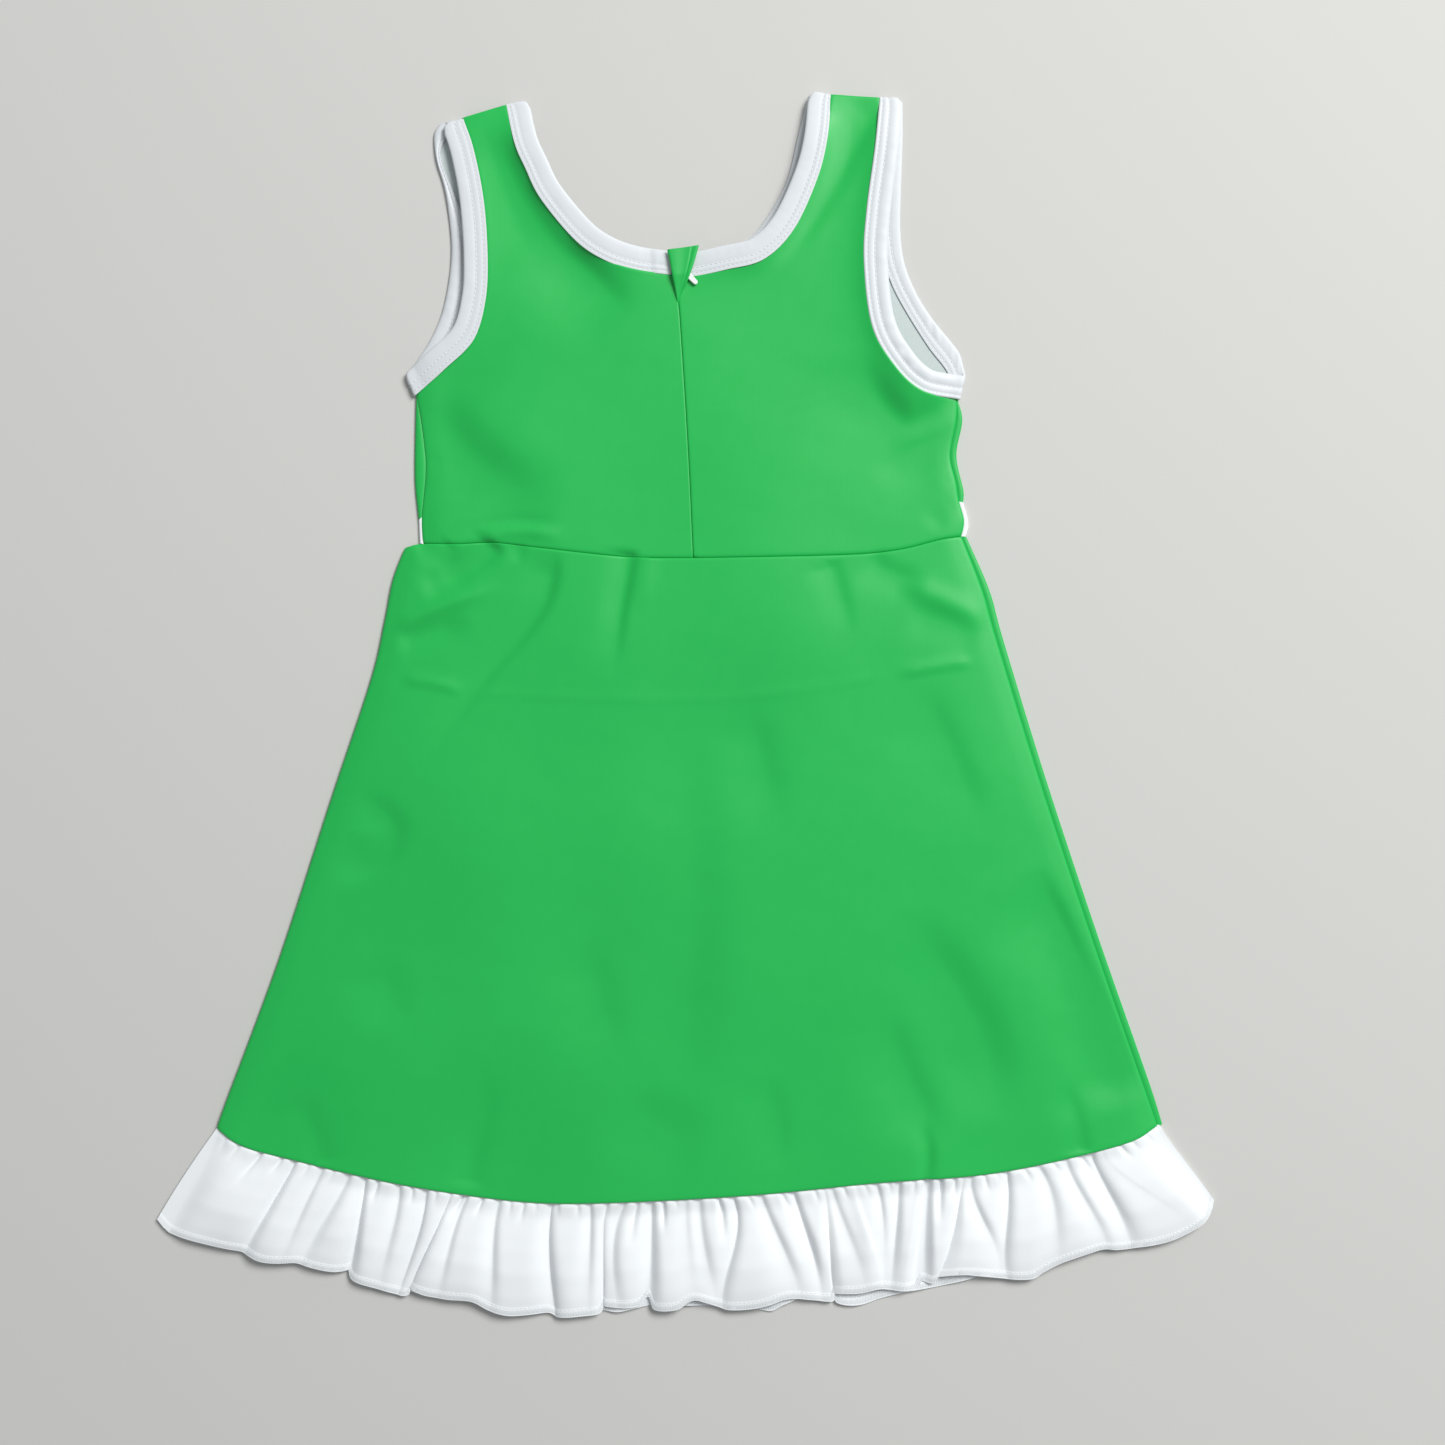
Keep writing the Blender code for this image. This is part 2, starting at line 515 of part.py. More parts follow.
def guard_underside(x, y):
    """The flap's underside slopes from over the slider down to its tip on the panel."""
    top, tip = max(p[1] for p in GUARD), min(p[1] for p in GUARD)
    share = np.minimum(1, 1.9 * np.clip((np.asarray(y) - tip) / (top - tip), 0, 1))
    return (back_underside(x, y) + WALL + SEAM_GAP) * (1 - share) + GUARD_TOP * share


def ring_of(radius, centre, steps, start=0.0, sweep=2 * math.pi):
    angles = start + sweep * np.arange(steps) / steps
    return np.column_stack([centre[0] + radius * np.cos(angles), centre[1] + radius * np.sin(angles)])


def zip_slider(finish):
    """The slider's body with the post that carries its pull, as one turned-up solid."""
    x, y, z = SLIDER_CENTRE
    width, length, height = SLIDER_SIZE
    corners = []
    for sx, sy, start in ((1, 1, 0), (-1, 1, 90), (-1, -1, 180), (1, -1, 270)):
        centre = (x + sx * (width / 2 - SLIDER_CORNER), y + sy * (length / 2 - SLIDER_CORNER))
        corners.append(ring_of(SLIDER_CORNER, centre, 4, math.radians(start), math.radians(120)))
    body = np.vstack(corners)
    post = ring_of(POST_RADIUS, (x, y), len(body))
    levels = ((body, z - height / 2), (body, z + height / 2), (post, z + height / 2),
              (post, z + height / 2 + POST_HEIGHT))
    count = len(body)
    points = np.vstack([np.column_stack([ring, np.full(count, level)]) for ring, level in levels])
    faces = [tuple(reversed(range(count)))]
    for level in range(3):
        for i in range(count):
            j = (i + 1) % count
            a, b = level * count, (level + 1) * count
            faces.append((a + i, a + j, b + j, b + i))
    faces.append(tuple(3 * count + i for i in range(count)))
    return outward(new_object("zip_slider", points, faces, finish))


def zip_pull(finish):
    """The pull tab: a drop-shaped plate with an eye round the slider's post."""
    steps = 20
    eye, outer = ring_of(PULL_EYE, (0, 0), steps), ring_of(PULL_WIDTH / 2, (0, 0), steps)
    outer[outer[:, 0] > 0.1, 0] += PULL_LENGTH - PULL_WIDTH / 2
    turn = np.array(((math.cos(PULL_ANGLE), -math.sin(PULL_ANGLE)), (math.sin(PULL_ANGLE), math.cos(PULL_ANGLE))))
    points = []
    for level in (PULL_LEVEL, PULL_LEVEL + PULL_THICK):
        for ring in (outer, eye):
            placed = ring @ turn.T + np.array(MIDDLE)
            points.append(np.column_stack([placed, np.full(steps, level)]))
    points = np.vstack(points)
    faces = []
    for i in range(steps):
        j = (i + 1) % steps
        low_out, low_in, high_out, high_in = 0, steps, 2 * steps, 3 * steps
        faces.append((low_out + i, low_in + i, low_in + j, low_out + j))
        faces.append((high_out + i, high_out + j, high_in + j, high_in + i))
        faces.append((low_out + i, low_out + j, high_out + j, high_out + i))
        faces.append((low_in + i, high_in + i, high_in + j, low_in + j))
    obj = outward(new_object("zip_pull", points, faces, finish))
    obj.location = ((SLIDER_CENTRE[0] - MIDDLE[0]) * MM, (SLIDER_CENTRE[1] - MIDDLE[1]) * MM, 0)
    return obj


def material(name, finish):
    """A plain Principled material."""
    made = bpy.data.materials.new(name)
    made.use_nodes = True
    shader = made.node_tree.nodes["Principled BSDF"]
    shader.inputs["Base Color"].default_value = (*finish.colour, 1)
    shader.inputs["Roughness"].default_value = finish.roughness
    shader.inputs["Metallic"].default_value = 0.0
    return made


def edge(points, step=10.0):
    return spline(points, step)


def back_panels(green):
    """The two halves of the back bodice and the back of the skirt."""
    waist = edge(WAIST)
    split = int(np.argmin(np.abs(waist[:, 0] - CENTRE_BACK[-1][0])))
    waist[split] = CENTRE_BACK[-1]
    centre = edge(CENTRE_BACK)
    left = joined(waist[:split + 1], centre[::-1], edge(NECK_LEFT)[::-1], edge(SHOULDERS[0], 12.0),
                  edge(ARMHOLE_LEFT), edge(BODICE_LEFT_SEAM))
    right = joined(waist[split:], edge(BODICE_RIGHT_SEAM)[::-1], edge(ARMHOLE_RIGHT)[::-1],
                   edge(SHOULDERS[1], 12.0)[::-1], edge(NECK_RIGHT), centre)
    cut_panel("back_bodice_left", inset(left, SEAM_GAP / 2), BODICE_STEP, back_underside, green("back left"))
    cut_panel("back_bodice_right", inset(right, SEAM_GAP / 2), BODICE_STEP, back_underside, green("back right"))
    skirt = joined(edge(SKIRT_LEFT), edge(HEM), edge(SKIRT_RIGHT_SEAM)[::-1], waist[::-1],
                   edge(WAIST_BULGE, 5.0)[::-1])
    cut_panel("back_skirt", inset(skirt, SEAM_GAP / 2), BACK_STEP, back_underside, green("back skirt"))


def front_panels(green, white):
    """The front bodice, the white band at the waist and the front of the skirt, flat on the ground."""
    bodice = joined(edge(BAND_TOP, 20.0), edge(BODICE_RIGHT[:5][::-1], 12.0), edge(ARMHOLE_RIGHT_FRONT)[::-1],
                    edge(SHOULDERS[1], 12.0)[::-1], edge(NECK_FRONT)[::-1], edge(SHOULDERS[0], 12.0),
                    edge(ARMHOLE_LEFT_FRONT), edge(BODICE_LEFT[:4], 12.0))
    cut_panel("front_bodice", inset(bodice, SEAM_GAP / 2), FRONT_STEP, front_underside, green("front bodice"))
    band = joined(edge(BAND_FOOT, 20.0), edge(BODICE_RIGHT[4:][::-1], 12.0), edge(BAND_TOP, 20.0)[::-1],
                  edge(BODICE_LEFT[3:], 12.0))
    cut_panel("front_waistband", inset(band, SEAM_GAP / 2), FRONT_STEP, front_underside, white("front waistband"))
    left, right = BAND_FOOT[:1] + SKIRT_LEFT[1:], BAND_FOOT[-1:] + SKIRT_RIGHT[1:-1] + HEM[-1:]
    skirt = joined(edge(left, 14.0), edge(HEM, 14.0), edge(right, 14.0)[::-1], edge(BAND_FOOT, 20.0)[::-1])
    cut_panel("front_skirt", inset(skirt, SEAM_GAP / 2), FRONT_STEP, front_underside, green("front skirt"))


def main():
    clear_scene()

    def green(piece):
        return material("green jersey " + piece, GREEN_JERSEY)

    def white(piece):
        return material("white jersey " + piece, WHITE_JERSEY)

    back_panels(green)
    front_panels(green, white)
    neck_binding(white("neck binding"))
    armhole_binding("armhole_binding_left", ARMHOLE_LEFT, ARMHOLE_LEFT_FRONT, -1, white("left armhole"))
    armhole_binding("armhole_binding_right", ARMHOLE_RIGHT, ARMHOLE_RIGHT_FRONT, 1, white("right armhole"))
    back_ruffle(white("back ruffle"))
    front_ruffle(white("front ruffle"))
    cut_panel("zip_guard", np.array(GUARD), 6.0, guard_underside, green("zip guard"))
    zip_slider(material("white slider", WHITE_PLASTIC))
    zip_pull(material("white pull", WHITE_PLASTIC))


main()
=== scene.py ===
"""Looks of a child's sleeveless jersey dress with a gathered hem ruffle, laid flat with its back side up.

The front layer rests on the ground plane and the back layer lies on it. X runs across the dress,
Y from the hem to the shoulders and Z up. Tables and mesh points are in millimetres from the middle
of the dress, and they are put in place, in metres, when a mesh is made.
"""

import logging
import math
from dataclasses import dataclass
from enum import Enum
from functools import partial
from typing import Callable, Iterable, Optional, Sequence, Union

import bpy
import numpy as np
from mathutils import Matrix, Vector
from mathutils.geometry import delaunay_2d_cdt


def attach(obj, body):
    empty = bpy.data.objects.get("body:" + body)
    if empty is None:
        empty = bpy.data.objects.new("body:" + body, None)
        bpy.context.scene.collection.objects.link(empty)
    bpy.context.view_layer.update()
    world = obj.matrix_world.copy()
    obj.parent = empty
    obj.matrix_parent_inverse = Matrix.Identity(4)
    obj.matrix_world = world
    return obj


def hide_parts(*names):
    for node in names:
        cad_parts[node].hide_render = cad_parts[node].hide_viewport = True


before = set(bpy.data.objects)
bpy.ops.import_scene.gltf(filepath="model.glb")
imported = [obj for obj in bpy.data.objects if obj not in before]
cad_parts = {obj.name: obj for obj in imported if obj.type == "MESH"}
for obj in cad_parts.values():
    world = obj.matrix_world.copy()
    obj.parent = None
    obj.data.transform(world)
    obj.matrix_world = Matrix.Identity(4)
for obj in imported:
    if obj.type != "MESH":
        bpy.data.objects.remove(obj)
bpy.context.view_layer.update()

LOG = logging.getLogger("dress")

# A line's points, and a colour's red, green and blue from 0 to 1
Line = Sequence[tuple[float, float]]
Colour = tuple[float, float, float]

# Driving dimensions in millimetres. MIDDLE is where the frame's origin lies in the tables, and WALL is the
# cloth's own thickness, which is less than that of the solids' stiff wall.
MM = 0.001
MIDDLE = (-0.25, -0.25)
WALL = 0.8
SOLID_WALL = 1.2
BACK_BINDING = 12.0
SHOULDER_BINDING = 11.4
UNDERARM_BINDING = 12.0
UNDERARM_REACH = 11.0
SHOULDER_TUCK = 1.7
BINDING_THICK = 1.8
LAYER_SIDE = 1.5
LAYER_BOUND = 2.4
LAYER_LOFT = 1.6
SIDE_REACH = 6.0
LOFT_REACH = 22.0
FOLD_CLEAR = 12.0
SHOULDER_DIP = 0.45
SHOULDER_REACH = 5.0
ZIP_SPACE_LEFT = 2.4
ZIP_SPACE_RIGHT = 4.2
SLIDER_CENTRE = (-5.4, 228.6, 4.1)

# Seams and edges, each a few (x, y) points that one smooth curve passes through
WAIST = ((-137.3, 83.0), (-118.6, 82.7), (-100.9, 83.4), (-80.1, 81.1), (-35.4, 76.4), (3.6, 75.4),
         (80.1, 77.0), (109.7, 79.6), (132.1, 85.0), (143.6, 86.8))
WAIST_BULGE = ((-146.6, 80.9), (-140.5, 82.6), (-137.3, 83.0))
HEM = ((-244.4, -221.5), (-231.9, -230.0), (-211.1, -236.1), (-148.7, -250.1), (-86.3, -259.2),
       (-34.3, -259.4), (38.5, -255.4), (100.9, -249.1), (163.3, -243.9), (225.7, -229.8), (245.4, -220.3))
SKIRT_LEFT = ((-146.6, 80.9), (-152.9, 64.0), (-157.0, 43.2), (-164.3, 12.0), (-185.1, -50.4),
              (-212.2, -133.6), (-239.2, -206.4), (-244.4, -221.5))
SKIRT_RIGHT = ((146.1, 86.6), (158.1, 58.8), (165.4, 32.8), (187.7, -40.0), (215.3, -123.2),
               (240.8, -196.0), (248.3, -219.6))
SKIRT_RIGHT_SEAM = ((143.6, 86.8), (154.4, 58.8), (162.2, 31.7), (184.6, -41.1), (212.2, -124.3),
                    (237.6, -197.1), (245.4, -220.3))
BODICE_LEFT = ((-140.6, 161.0), (-141.2, 142.0), (-141.4, 116.0), (-139.4, 95.2), (-138.9, 83.2))
BODICE_LEFT_SEAM = ((-140.6, 161.0), (-137.6, 142.0), (-135.8, 121.0), (-137.9, 96.7), (-137.3, 83.0))
BODICE_RIGHT = ((141.4, 158.6), (144.0, 147.2), (140.9, 129.0), (144.6, 110.8), (144.4, 104.5), (147.2, 93.5),
                (145.6, 86.8))
BODICE_RIGHT_SEAM = ((141.4, 158.6), (140.9, 147.2), (137.8, 129.0), (140.8, 114.9), (142.3, 105.0),
                     (144.9, 95.2), (143.6, 86.8))
CENTRE_BACK = ((-5.4, 222.6), (-4.2, 209.6), (-2.9, 194.0), (1.0, 131.6), (3.6, 75.4))
NECK_LEFT = ((-93.0, 311.3), (-88.4, 290.5), (-82.7, 277.2), (-74.9, 261.6), (-57.7, 240.8), (-43.2, 230.6),
             (-27.0, 225.2), (-5.4, 222.6))
NECK_RIGHT = ((75.1, 316.4), (72.8, 292.8), (67.6, 272.0), (55.6, 246.0), (40.0, 230.4), (20.3, 225.2),
              (4.7, 222.2), (-5.4, 222.6))
NECK_FRONT = ((-93.0, 311.3), (-88.4, 282.4), (-71.8, 251.2), (-39.5, 225.2), (2.1, 218.9), (37.4, 230.4),
              (60.8, 262.1), (70.2, 295.6), (75.1, 316.4))
ARMHOLE_LEFT = ((-116.5, 304.2), (-110.8, 287.6), (-105.6, 261.6), (-103.5, 233.0), (-104.5, 209.6),
                (-110.8, 188.8), (-126.4, 173.2), (-140.6, 161.0))
ARMHOLE_RIGHT = ((101.2, 314.8), (98.3, 287.6), (94.1, 256.4), (92.6, 229.3), (96.7, 196.0), (108.2, 174.7),
                 (122.2, 162.2), (141.4, 158.6))
ARMHOLE_LEFT_FRONT = ((-116.5, 304.2), (-124.0, 296.5), (-128.3, 289.0), (-127.6, 281.0), (-123.6, 271.0),
                      (-118.4, 258.0), (-113.8, 246.0), (-111.2, 233.5), (-114.8, 204.4), (-123.8, 180.4),
                      (-131.0, 168.5), (-140.6, 161.0))
ARMHOLE_RIGHT_FRONT = ((101.2, 314.8), (101.0, 297.6), (99.8, 272.0), (102.6, 235.0), (107.5, 219.0),
                       (114.7, 205.0), (126.7, 186.0), (136.6, 172.8), (141.4, 158.6))
ARMHOLE_LEFT_FREE = ((-128.6, 301.8), (-131.3, 297.0), (-131.3, 289.5), (-129.6, 280.5), (-125.8, 267.0),
                     (-123.2, 249.0), (-122.4, 235.0), (-123.8, 219.6), (-127.4, 203.0), (-133.2, 189.5),
                     (-140.0, 178.8), (-145.0, 171.0))
ARMHOLE_RIGHT_FREE = ((112.9, 313.0), (112.9, 293.0), (111.9, 262.0), (111.8, 245.0), (113.9, 229.3),
                      (119.9, 214.0), (128.4, 200.4), (137.0, 189.8), (142.4, 182.6), (144.4, 176.5))
UNDERARMS = ((-145.0, 171.2), (143.9, 171.0))
BAND_TOP = ((-139.4, 95.2), (-65.5, 90.6), (2.1, 89.0), (69.7, 93.0), (143.5, 104.5))
BAND_FOOT = ((-138.9, 83.2), (-65.5, 78.5), (2.1, 75.9), (69.7, 78.5), (145.6, 86.8))
SHOULDERS = ((NECK_LEFT[0], ARMHOLE_LEFT[0]), (NECK_RIGHT[0], ARMHOLE_RIGHT[0]))

# Hem edges and sides of the two ruffles
RUFFLE_SIDE_LEFT = ((-244.2, -222.0), (-255.5, -236.0), (-266.0, -253.5), (-275.6, -269.0))
RUFFLE_SIDE_RIGHT = ((246.8, -219.8), (255.5, -229.5), (265.5, -244.5), (275.1, -259.0))
BACK_RUFFLE_HEM = ((-275.6, -269.0), (-271.0, -274.5), (-266.0, -277.0), (-249.0, -281.5), (-231.0, -286.0),
                   (-222.0, -290.0), (-213.0, -291.2), (-204.0, -291.0), (-197.0, -293.0), (-184.0, -296.0),
                   (-177.2, -295.0), (-175.2, -298.5), (-171.0, -301.5), (-160.0, -305.0), (-152.0, -307.5),
                   (-144.2, -308.5), (-142.0, -305.2), (-136.0, -308.0), (-124.0, -310.0), (-112.0, -311.0),
                   (-103.0, -315.6), (-93.0, -318.4), (-83.0, -318.2), (-73.0, -317.4), (-66.0, -319.6),
                   (-56.0, -319.0), (-47.0, -318.0), (-44.0, -316.0), (-42.5, -313.6), (-36.0, -314.6),
                   (-29.0, -314.6), (-24.0, -313.0), (-21.0, -309.5), (-18.2, -310.0), (-16.0, -315.6),
                   (-5.0, -315.2), (1.0, -311.4), (5.0, -310.4), (10.0, -312.0), (16.0, -314.0),
                   (23.0, -315.6), (34.0, -315.0), (43.0, -313.0), (50.0, -310.4), (57.0, -309.8),
                   (66.0, -310.8), (75.0, -311.4), (78.0, -307.4), (90.0, -306.8), (99.0, -304.8),
                   (106.0, -305.2), (114.0, -305.8), (119.6, -305.2), (122.4, -301.0), (128.0, -302.0),
                   (132.0, -298.4), (138.0, -297.4), (146.0, -297.0), (154.0, -298.0), (168.0, -299.6),
                   (180.0, -299.4), (186.0, -295.8), (197.0, -290.4), (212.0, -285.2), (218.0, -284.0),
                   (224.0, -284.4), (235.0, -283.4), (250.0, -280.2), (260.0, -276.0), (269.0, -270.5),
                   (273.5, -264.5), (275.1, -259.0))
FRONT_RUFFLE_HEM = ((-273.6, -270.0), (-268.0, -275.0), (-232.0, -282.0), (-184.0, -292.0), (-138.0, -302.0),
                    (-90.0, -311.0), (-60.0, -315.0), (-44.0, -316.4), (-36.0, -317.4), (-28.0, -315.8),
                    (-14.0, -313.2), (0.0, -314.0), (15.0, -314.2), (30.0, -314.5), (43.5, -317.0),
                    (50.4, -313.8), (60.0, -310.0), (74.0, -307.6), (79.0, -312.8), (90.0, -313.8),
                    (102.0, -310.2), (114.0, -307.0), (131.0, -304.2), (146.0, -300.6), (156.0, -297.5),
                    (184.0, -291.0), (246.0, -275.5), (268.0, -266.0), (273.4, -259.5))


class Layer(Enum):
    """The two layers of the dress as it lies."""

    BACK = "back"
    FRONT = "front"


class Rim(Enum):
    """How far in, and how deep, a panel rounds down at an edge, in millimetres."""

    WAIST_UPPER = (2.0, 0.80)
    WAIST_LOWER = (1.2, 0.45)
    CENTRE_LEFT = (0.5, 0.25)
    CENTRE_RIGHT = (1.1, 0.75)
    BOUND = (1.5, 0.40)
    SHOULDER = (2.2, 0.60)
    SIDE = (2.6, 0.95)
    HEM = (1.8, 0.50)


@dataclass(frozen=True)
class Fold:
    """A soft crease: its line, its depth (a ridge when positive) and its width left and right of the line.

    rise and fall are the shares of its length over which it comes and goes.
    """

    path: Line
    depth: float
    left: float
    right: float
    rise: float = 0.35
    fall: float = 0.45

    def lift(self, line: np.ndarray, x: np.ndarray, y: np.ndarray) -> np.ndarray:
        """Gives how far it raises places, measured from the smooth line through its path."""
        away, share, side = nearest(line, x, y)
        taper = eased(share / self.rise) * eased((1 - share) / self.fall)
        return self.depth * bell(away, np.where(side > 0, self.left, self.right)) * taper


@dataclass(frozen=True)
class RuffleFold:
    """A fold of the ruffle: where it runs across at the seam, two stations and the hem, and how it is shaped.

    depth is the share of the lift that it takes away at the seam, and hem_depth at the hem. pinch draws
    its two lips together and lap draws one lip over it. flat widens its floor.
    """

    seam: float
    upper: float
    lower: float
    hem: float
    depth: float
    hem_depth: float
    width: float = 3.0
    pinch: float = 0.5
    lap: float = 0.0
    flat: bool = False


@dataclass(frozen=True)
class Gather:
    """A short pucker under a seam: its place along it, its depth, its length as a share, and its lean."""

    seam: float
    depth: float
    reach: float
    lean: float = 0.0


BACK_FOLDS = tuple(Fold(*row) for row in (
    (((-144, 152), (-126, 137), (-110, 123), (-90, 110), (-64, 102)), -2.6, 14.0, 32.0, 0.2, 0.35),
    (((-124, 164), (-106, 149), (-90, 135), (-72, 120)), 1.6, 34.0, 14.0, 0.35, 0.4),
    (((-99, 300), (-93, 280), (-82, 258), (-68, 239), (-53, 225), (-38, 216)), -1.8, 6.0, 26.0, 0.2, 0.3),
    (((-138, 128), (-132, 126.5), (-126, 125)), -1.0, 2.8, 4.0, 0.15, 0.5),
    (((-68, 246), (-54, 228), (-43, 215), (-28, 198)), -2.6, 8.0, 26.0, 0.5, 0.4),
    (((103, 314), (93, 299), (81, 277), (69, 256), (56, 239), (38, 226)), -1.4, 5.0, 17.0, 0.12, 0.35),
    (((91, 188), (96, 166), (106, 150), (116, 143), (129, 149), (141, 157), (152, 166)),
     -3.2, 9.5, 34.0, 0.4, 0.3),
    (((100, 190), (106, 172), (115, 161), (127, 159), (146, 166)), 1.5, 12.0, 8.0, 0.4, 0.3),
    (((104, 133), (117, 137), (130, 143), (143, 149)), 0.9, 6.0, 5.0, 0.4, 0.15),
    (((143, 141), (129, 135), (113, 127), (96, 115)), -1.2, 14.0, 4.5, 0.15, 0.5),
    (((142, 105), (135, 98), (126, 89)), -0.7, 5.0, 7.0, 0.2, 0.4),
    (((-116, 83.5), (-106, 87), (-96, 89), (-82, 89.5), (-60, 86)), 1.4, 4.5, 3.5, 0.3, 0.35),
    (((-118, 86), (-109, 90.5), (-99, 93.5), (-84, 94.5), (-62, 91.5)), -0.9, 3.0, 5.5, 0.3, 0.4),
    (((-98, 84.5), (-102.5, 79), (-108, 74), (-118, 69), (-131, 64)), -3.0, 5.5, 9.0, 0.15, 0.45),
    (((-114, 73), (-126, 65), (-140, 58)), -1.8, 7.0, 9.0, 0.35, 0.4),
    (((-86, 83), (-86.5, 78), (-88, 71)), -0.8, 2.6, 8.0, 0.2, 0.6),
    (((-122, 84), (-129, 77), (-138, 71)), -1.2, 4.0, 5.0, 0.15, 0.5),
    (((-155, 37), (-136, 47), (-116, 54.5), (-95, 62)), 1.6, 3.6, 4.0, 0.2, 0.4),
    (((-152, 31), (-128, 38), (-110, 43)), -1.3, 5.0, 7.0, 0.2, 0.4),
    (((-68.5, 81), (-70, 66), (-74, 52), (-84, 37), (-97, 22), (-113, 2), (-136, -30)),
     -1.9, 3.6, 12.0, 0.12, 0.55),
    (((-28.4, 79), (-30.2, 66), (-34.3, 43), (-38, 8)), -1.7, 2.5, 9.0, 0.03, 0.7),
    (((-20, 76), (-22, 60), (-24, 44)), 0.5, 5.0, 5.0, 0.03, 0.7),
    (((-149, 12.4), (-132, 10), (-114, 5.4)), 0.7, 4.0, 2.0, 0.25, 0.3),
    (((108, 14), (127, 18), (150, 21.5)), 0.8, 4.0, 2.0, 0.3, 0.2),
    (((-122, 6), (-60, 2.6), (0, 1.6), (54, 5.7), (112, 15)), 0.17, 3.0, 1.8, 0.1, 0.1),
    (((109, 64), (132, 54), (159, 42)), 1.1, 7.0, 5.0, 0.3, 0.2),
    (((93, 77), (108, 67), (127, 63)), -1.1, 5.0, 12.0, 0.2, 0.4),
    (((112, 49), (135, 42), (157, 32)), -1.0, 6.0, 13.0, 0.3, 0.25),
    (((75, 74), (82, 50), (86, 28)), -0.8, 4.0, 10.0, 0.05, 0.6),
    (((-178, -50), (-161, -55), (-152, -66), (-157, -79), (-171, -86), (-190, -90)),
     -1.3, 6.5, 12.0, 0.3, 0.3),
    (((-8, 8), (-1, -50), (2, -136), (-10, -220)), -1.7, 17.0, 28.0, 0.3, 0.3),
    (((30, 4), (38, -30), (47, -68)), -1.1, 9.0, 20.0, 0.35, 0.4),
    (((-38, -203), (-14, -221), (14, -234)), -1.2, 14.0, 26.0, 0.4, 0.4),
    (((-56, -120), (-45, -154), (-38, -188)), -0.9, 9.0, 18.0, 0.35, 0.4),
    (((119, 12), (138, -28), (156, -72)), -1.2, 8.0, 24.0, 0.35, 0.4),
    (((110, -108), (127, -132), (142, -154), (152, -174), (165, -222)), -2.7, 13.0, 34.0, 0.35, 0.35),
    (((100, -146), (109, -182), (122, -212), (127, -236)), -1.8, 9.0, 20.0, 0.45, 0.3),
    (((122, -214), (126, -232), (124.6, -250)), -1.3, 2.8, 5.0, 0.6, 0.03),
    (((180, -84), (193, -110), (211, -146), (225, -176), (238, -208)), -3.4, 5.5, 30.0, 0.25, 0.15),
    (((-163, -130), (-155, -149), (-148, -170)), -1.0, 9.0, 19.0, 0.4, 0.45),
    (((-96, -190), (-108, -222), (-112, -252)), -0.8, 6.0, 10.0, 0.4, 0.05),
    (((40, -190), (47, -222), (46, -246)), -0.7, 7.0, 12.0, 0.4, 0.3),
    (((196, -196), (203, -216), (206, -234)), -0.8, 4.0, 8.0, 0.4, 0.05),
    (((-200, -200), (-196, -216), (-188, -240)), -0.7, 6.0, 9.0, 0.4, 0.05),
))
FRONT_FOLDS = tuple(Fold(*row) for row in (
    (((-120, 60), (-100, 10), (-90, -60), (-96, -150)), 0.55, 7.0, 9.0, 0.2, 0.4),
    (((-30, 70), (-24, 10), (-40, -80)), 0.45, 6.0, 8.0, 0.2, 0.5),
    (((60, 72), (72, 20), (70, -60), (90, -160)), 0.55, 9.0, 6.0, 0.2, 0.4),
    (((130, 40), (150, -20), (168, -90)), 0.45, 6.0, 7.0, 0.3, 0.4),
    (((-170, -60), (-186, -120), (-210, -190)), 0.5, 7.0, 7.0, 0.3, 0.3),
    (((20, -110), (26, -180), (22, -250)), 0.5, 8.0, 6.0, 0.4, 0.1),
    (((-60, -170), (-72, -250)), 0.4, 6.0, 6.0, 0.5, 0.1),
    (((150, -170), (166, -238)), 0.45, 6.0, 6.0, 0.5, 0.1),
    (((-110, 150), (-80, 128), (-40, 118)), 0.5, 6.0, 8.0, 0.3, 0.4),
    (((112, 150), (84, 140), (40, 150)), 0.45, 6.0, 6.0, 0.3, 0.5),
    (((-20, 200), (4, 180), (30, 172)), 0.4, 6.0, 7.0, 0.3, 0.4),
))
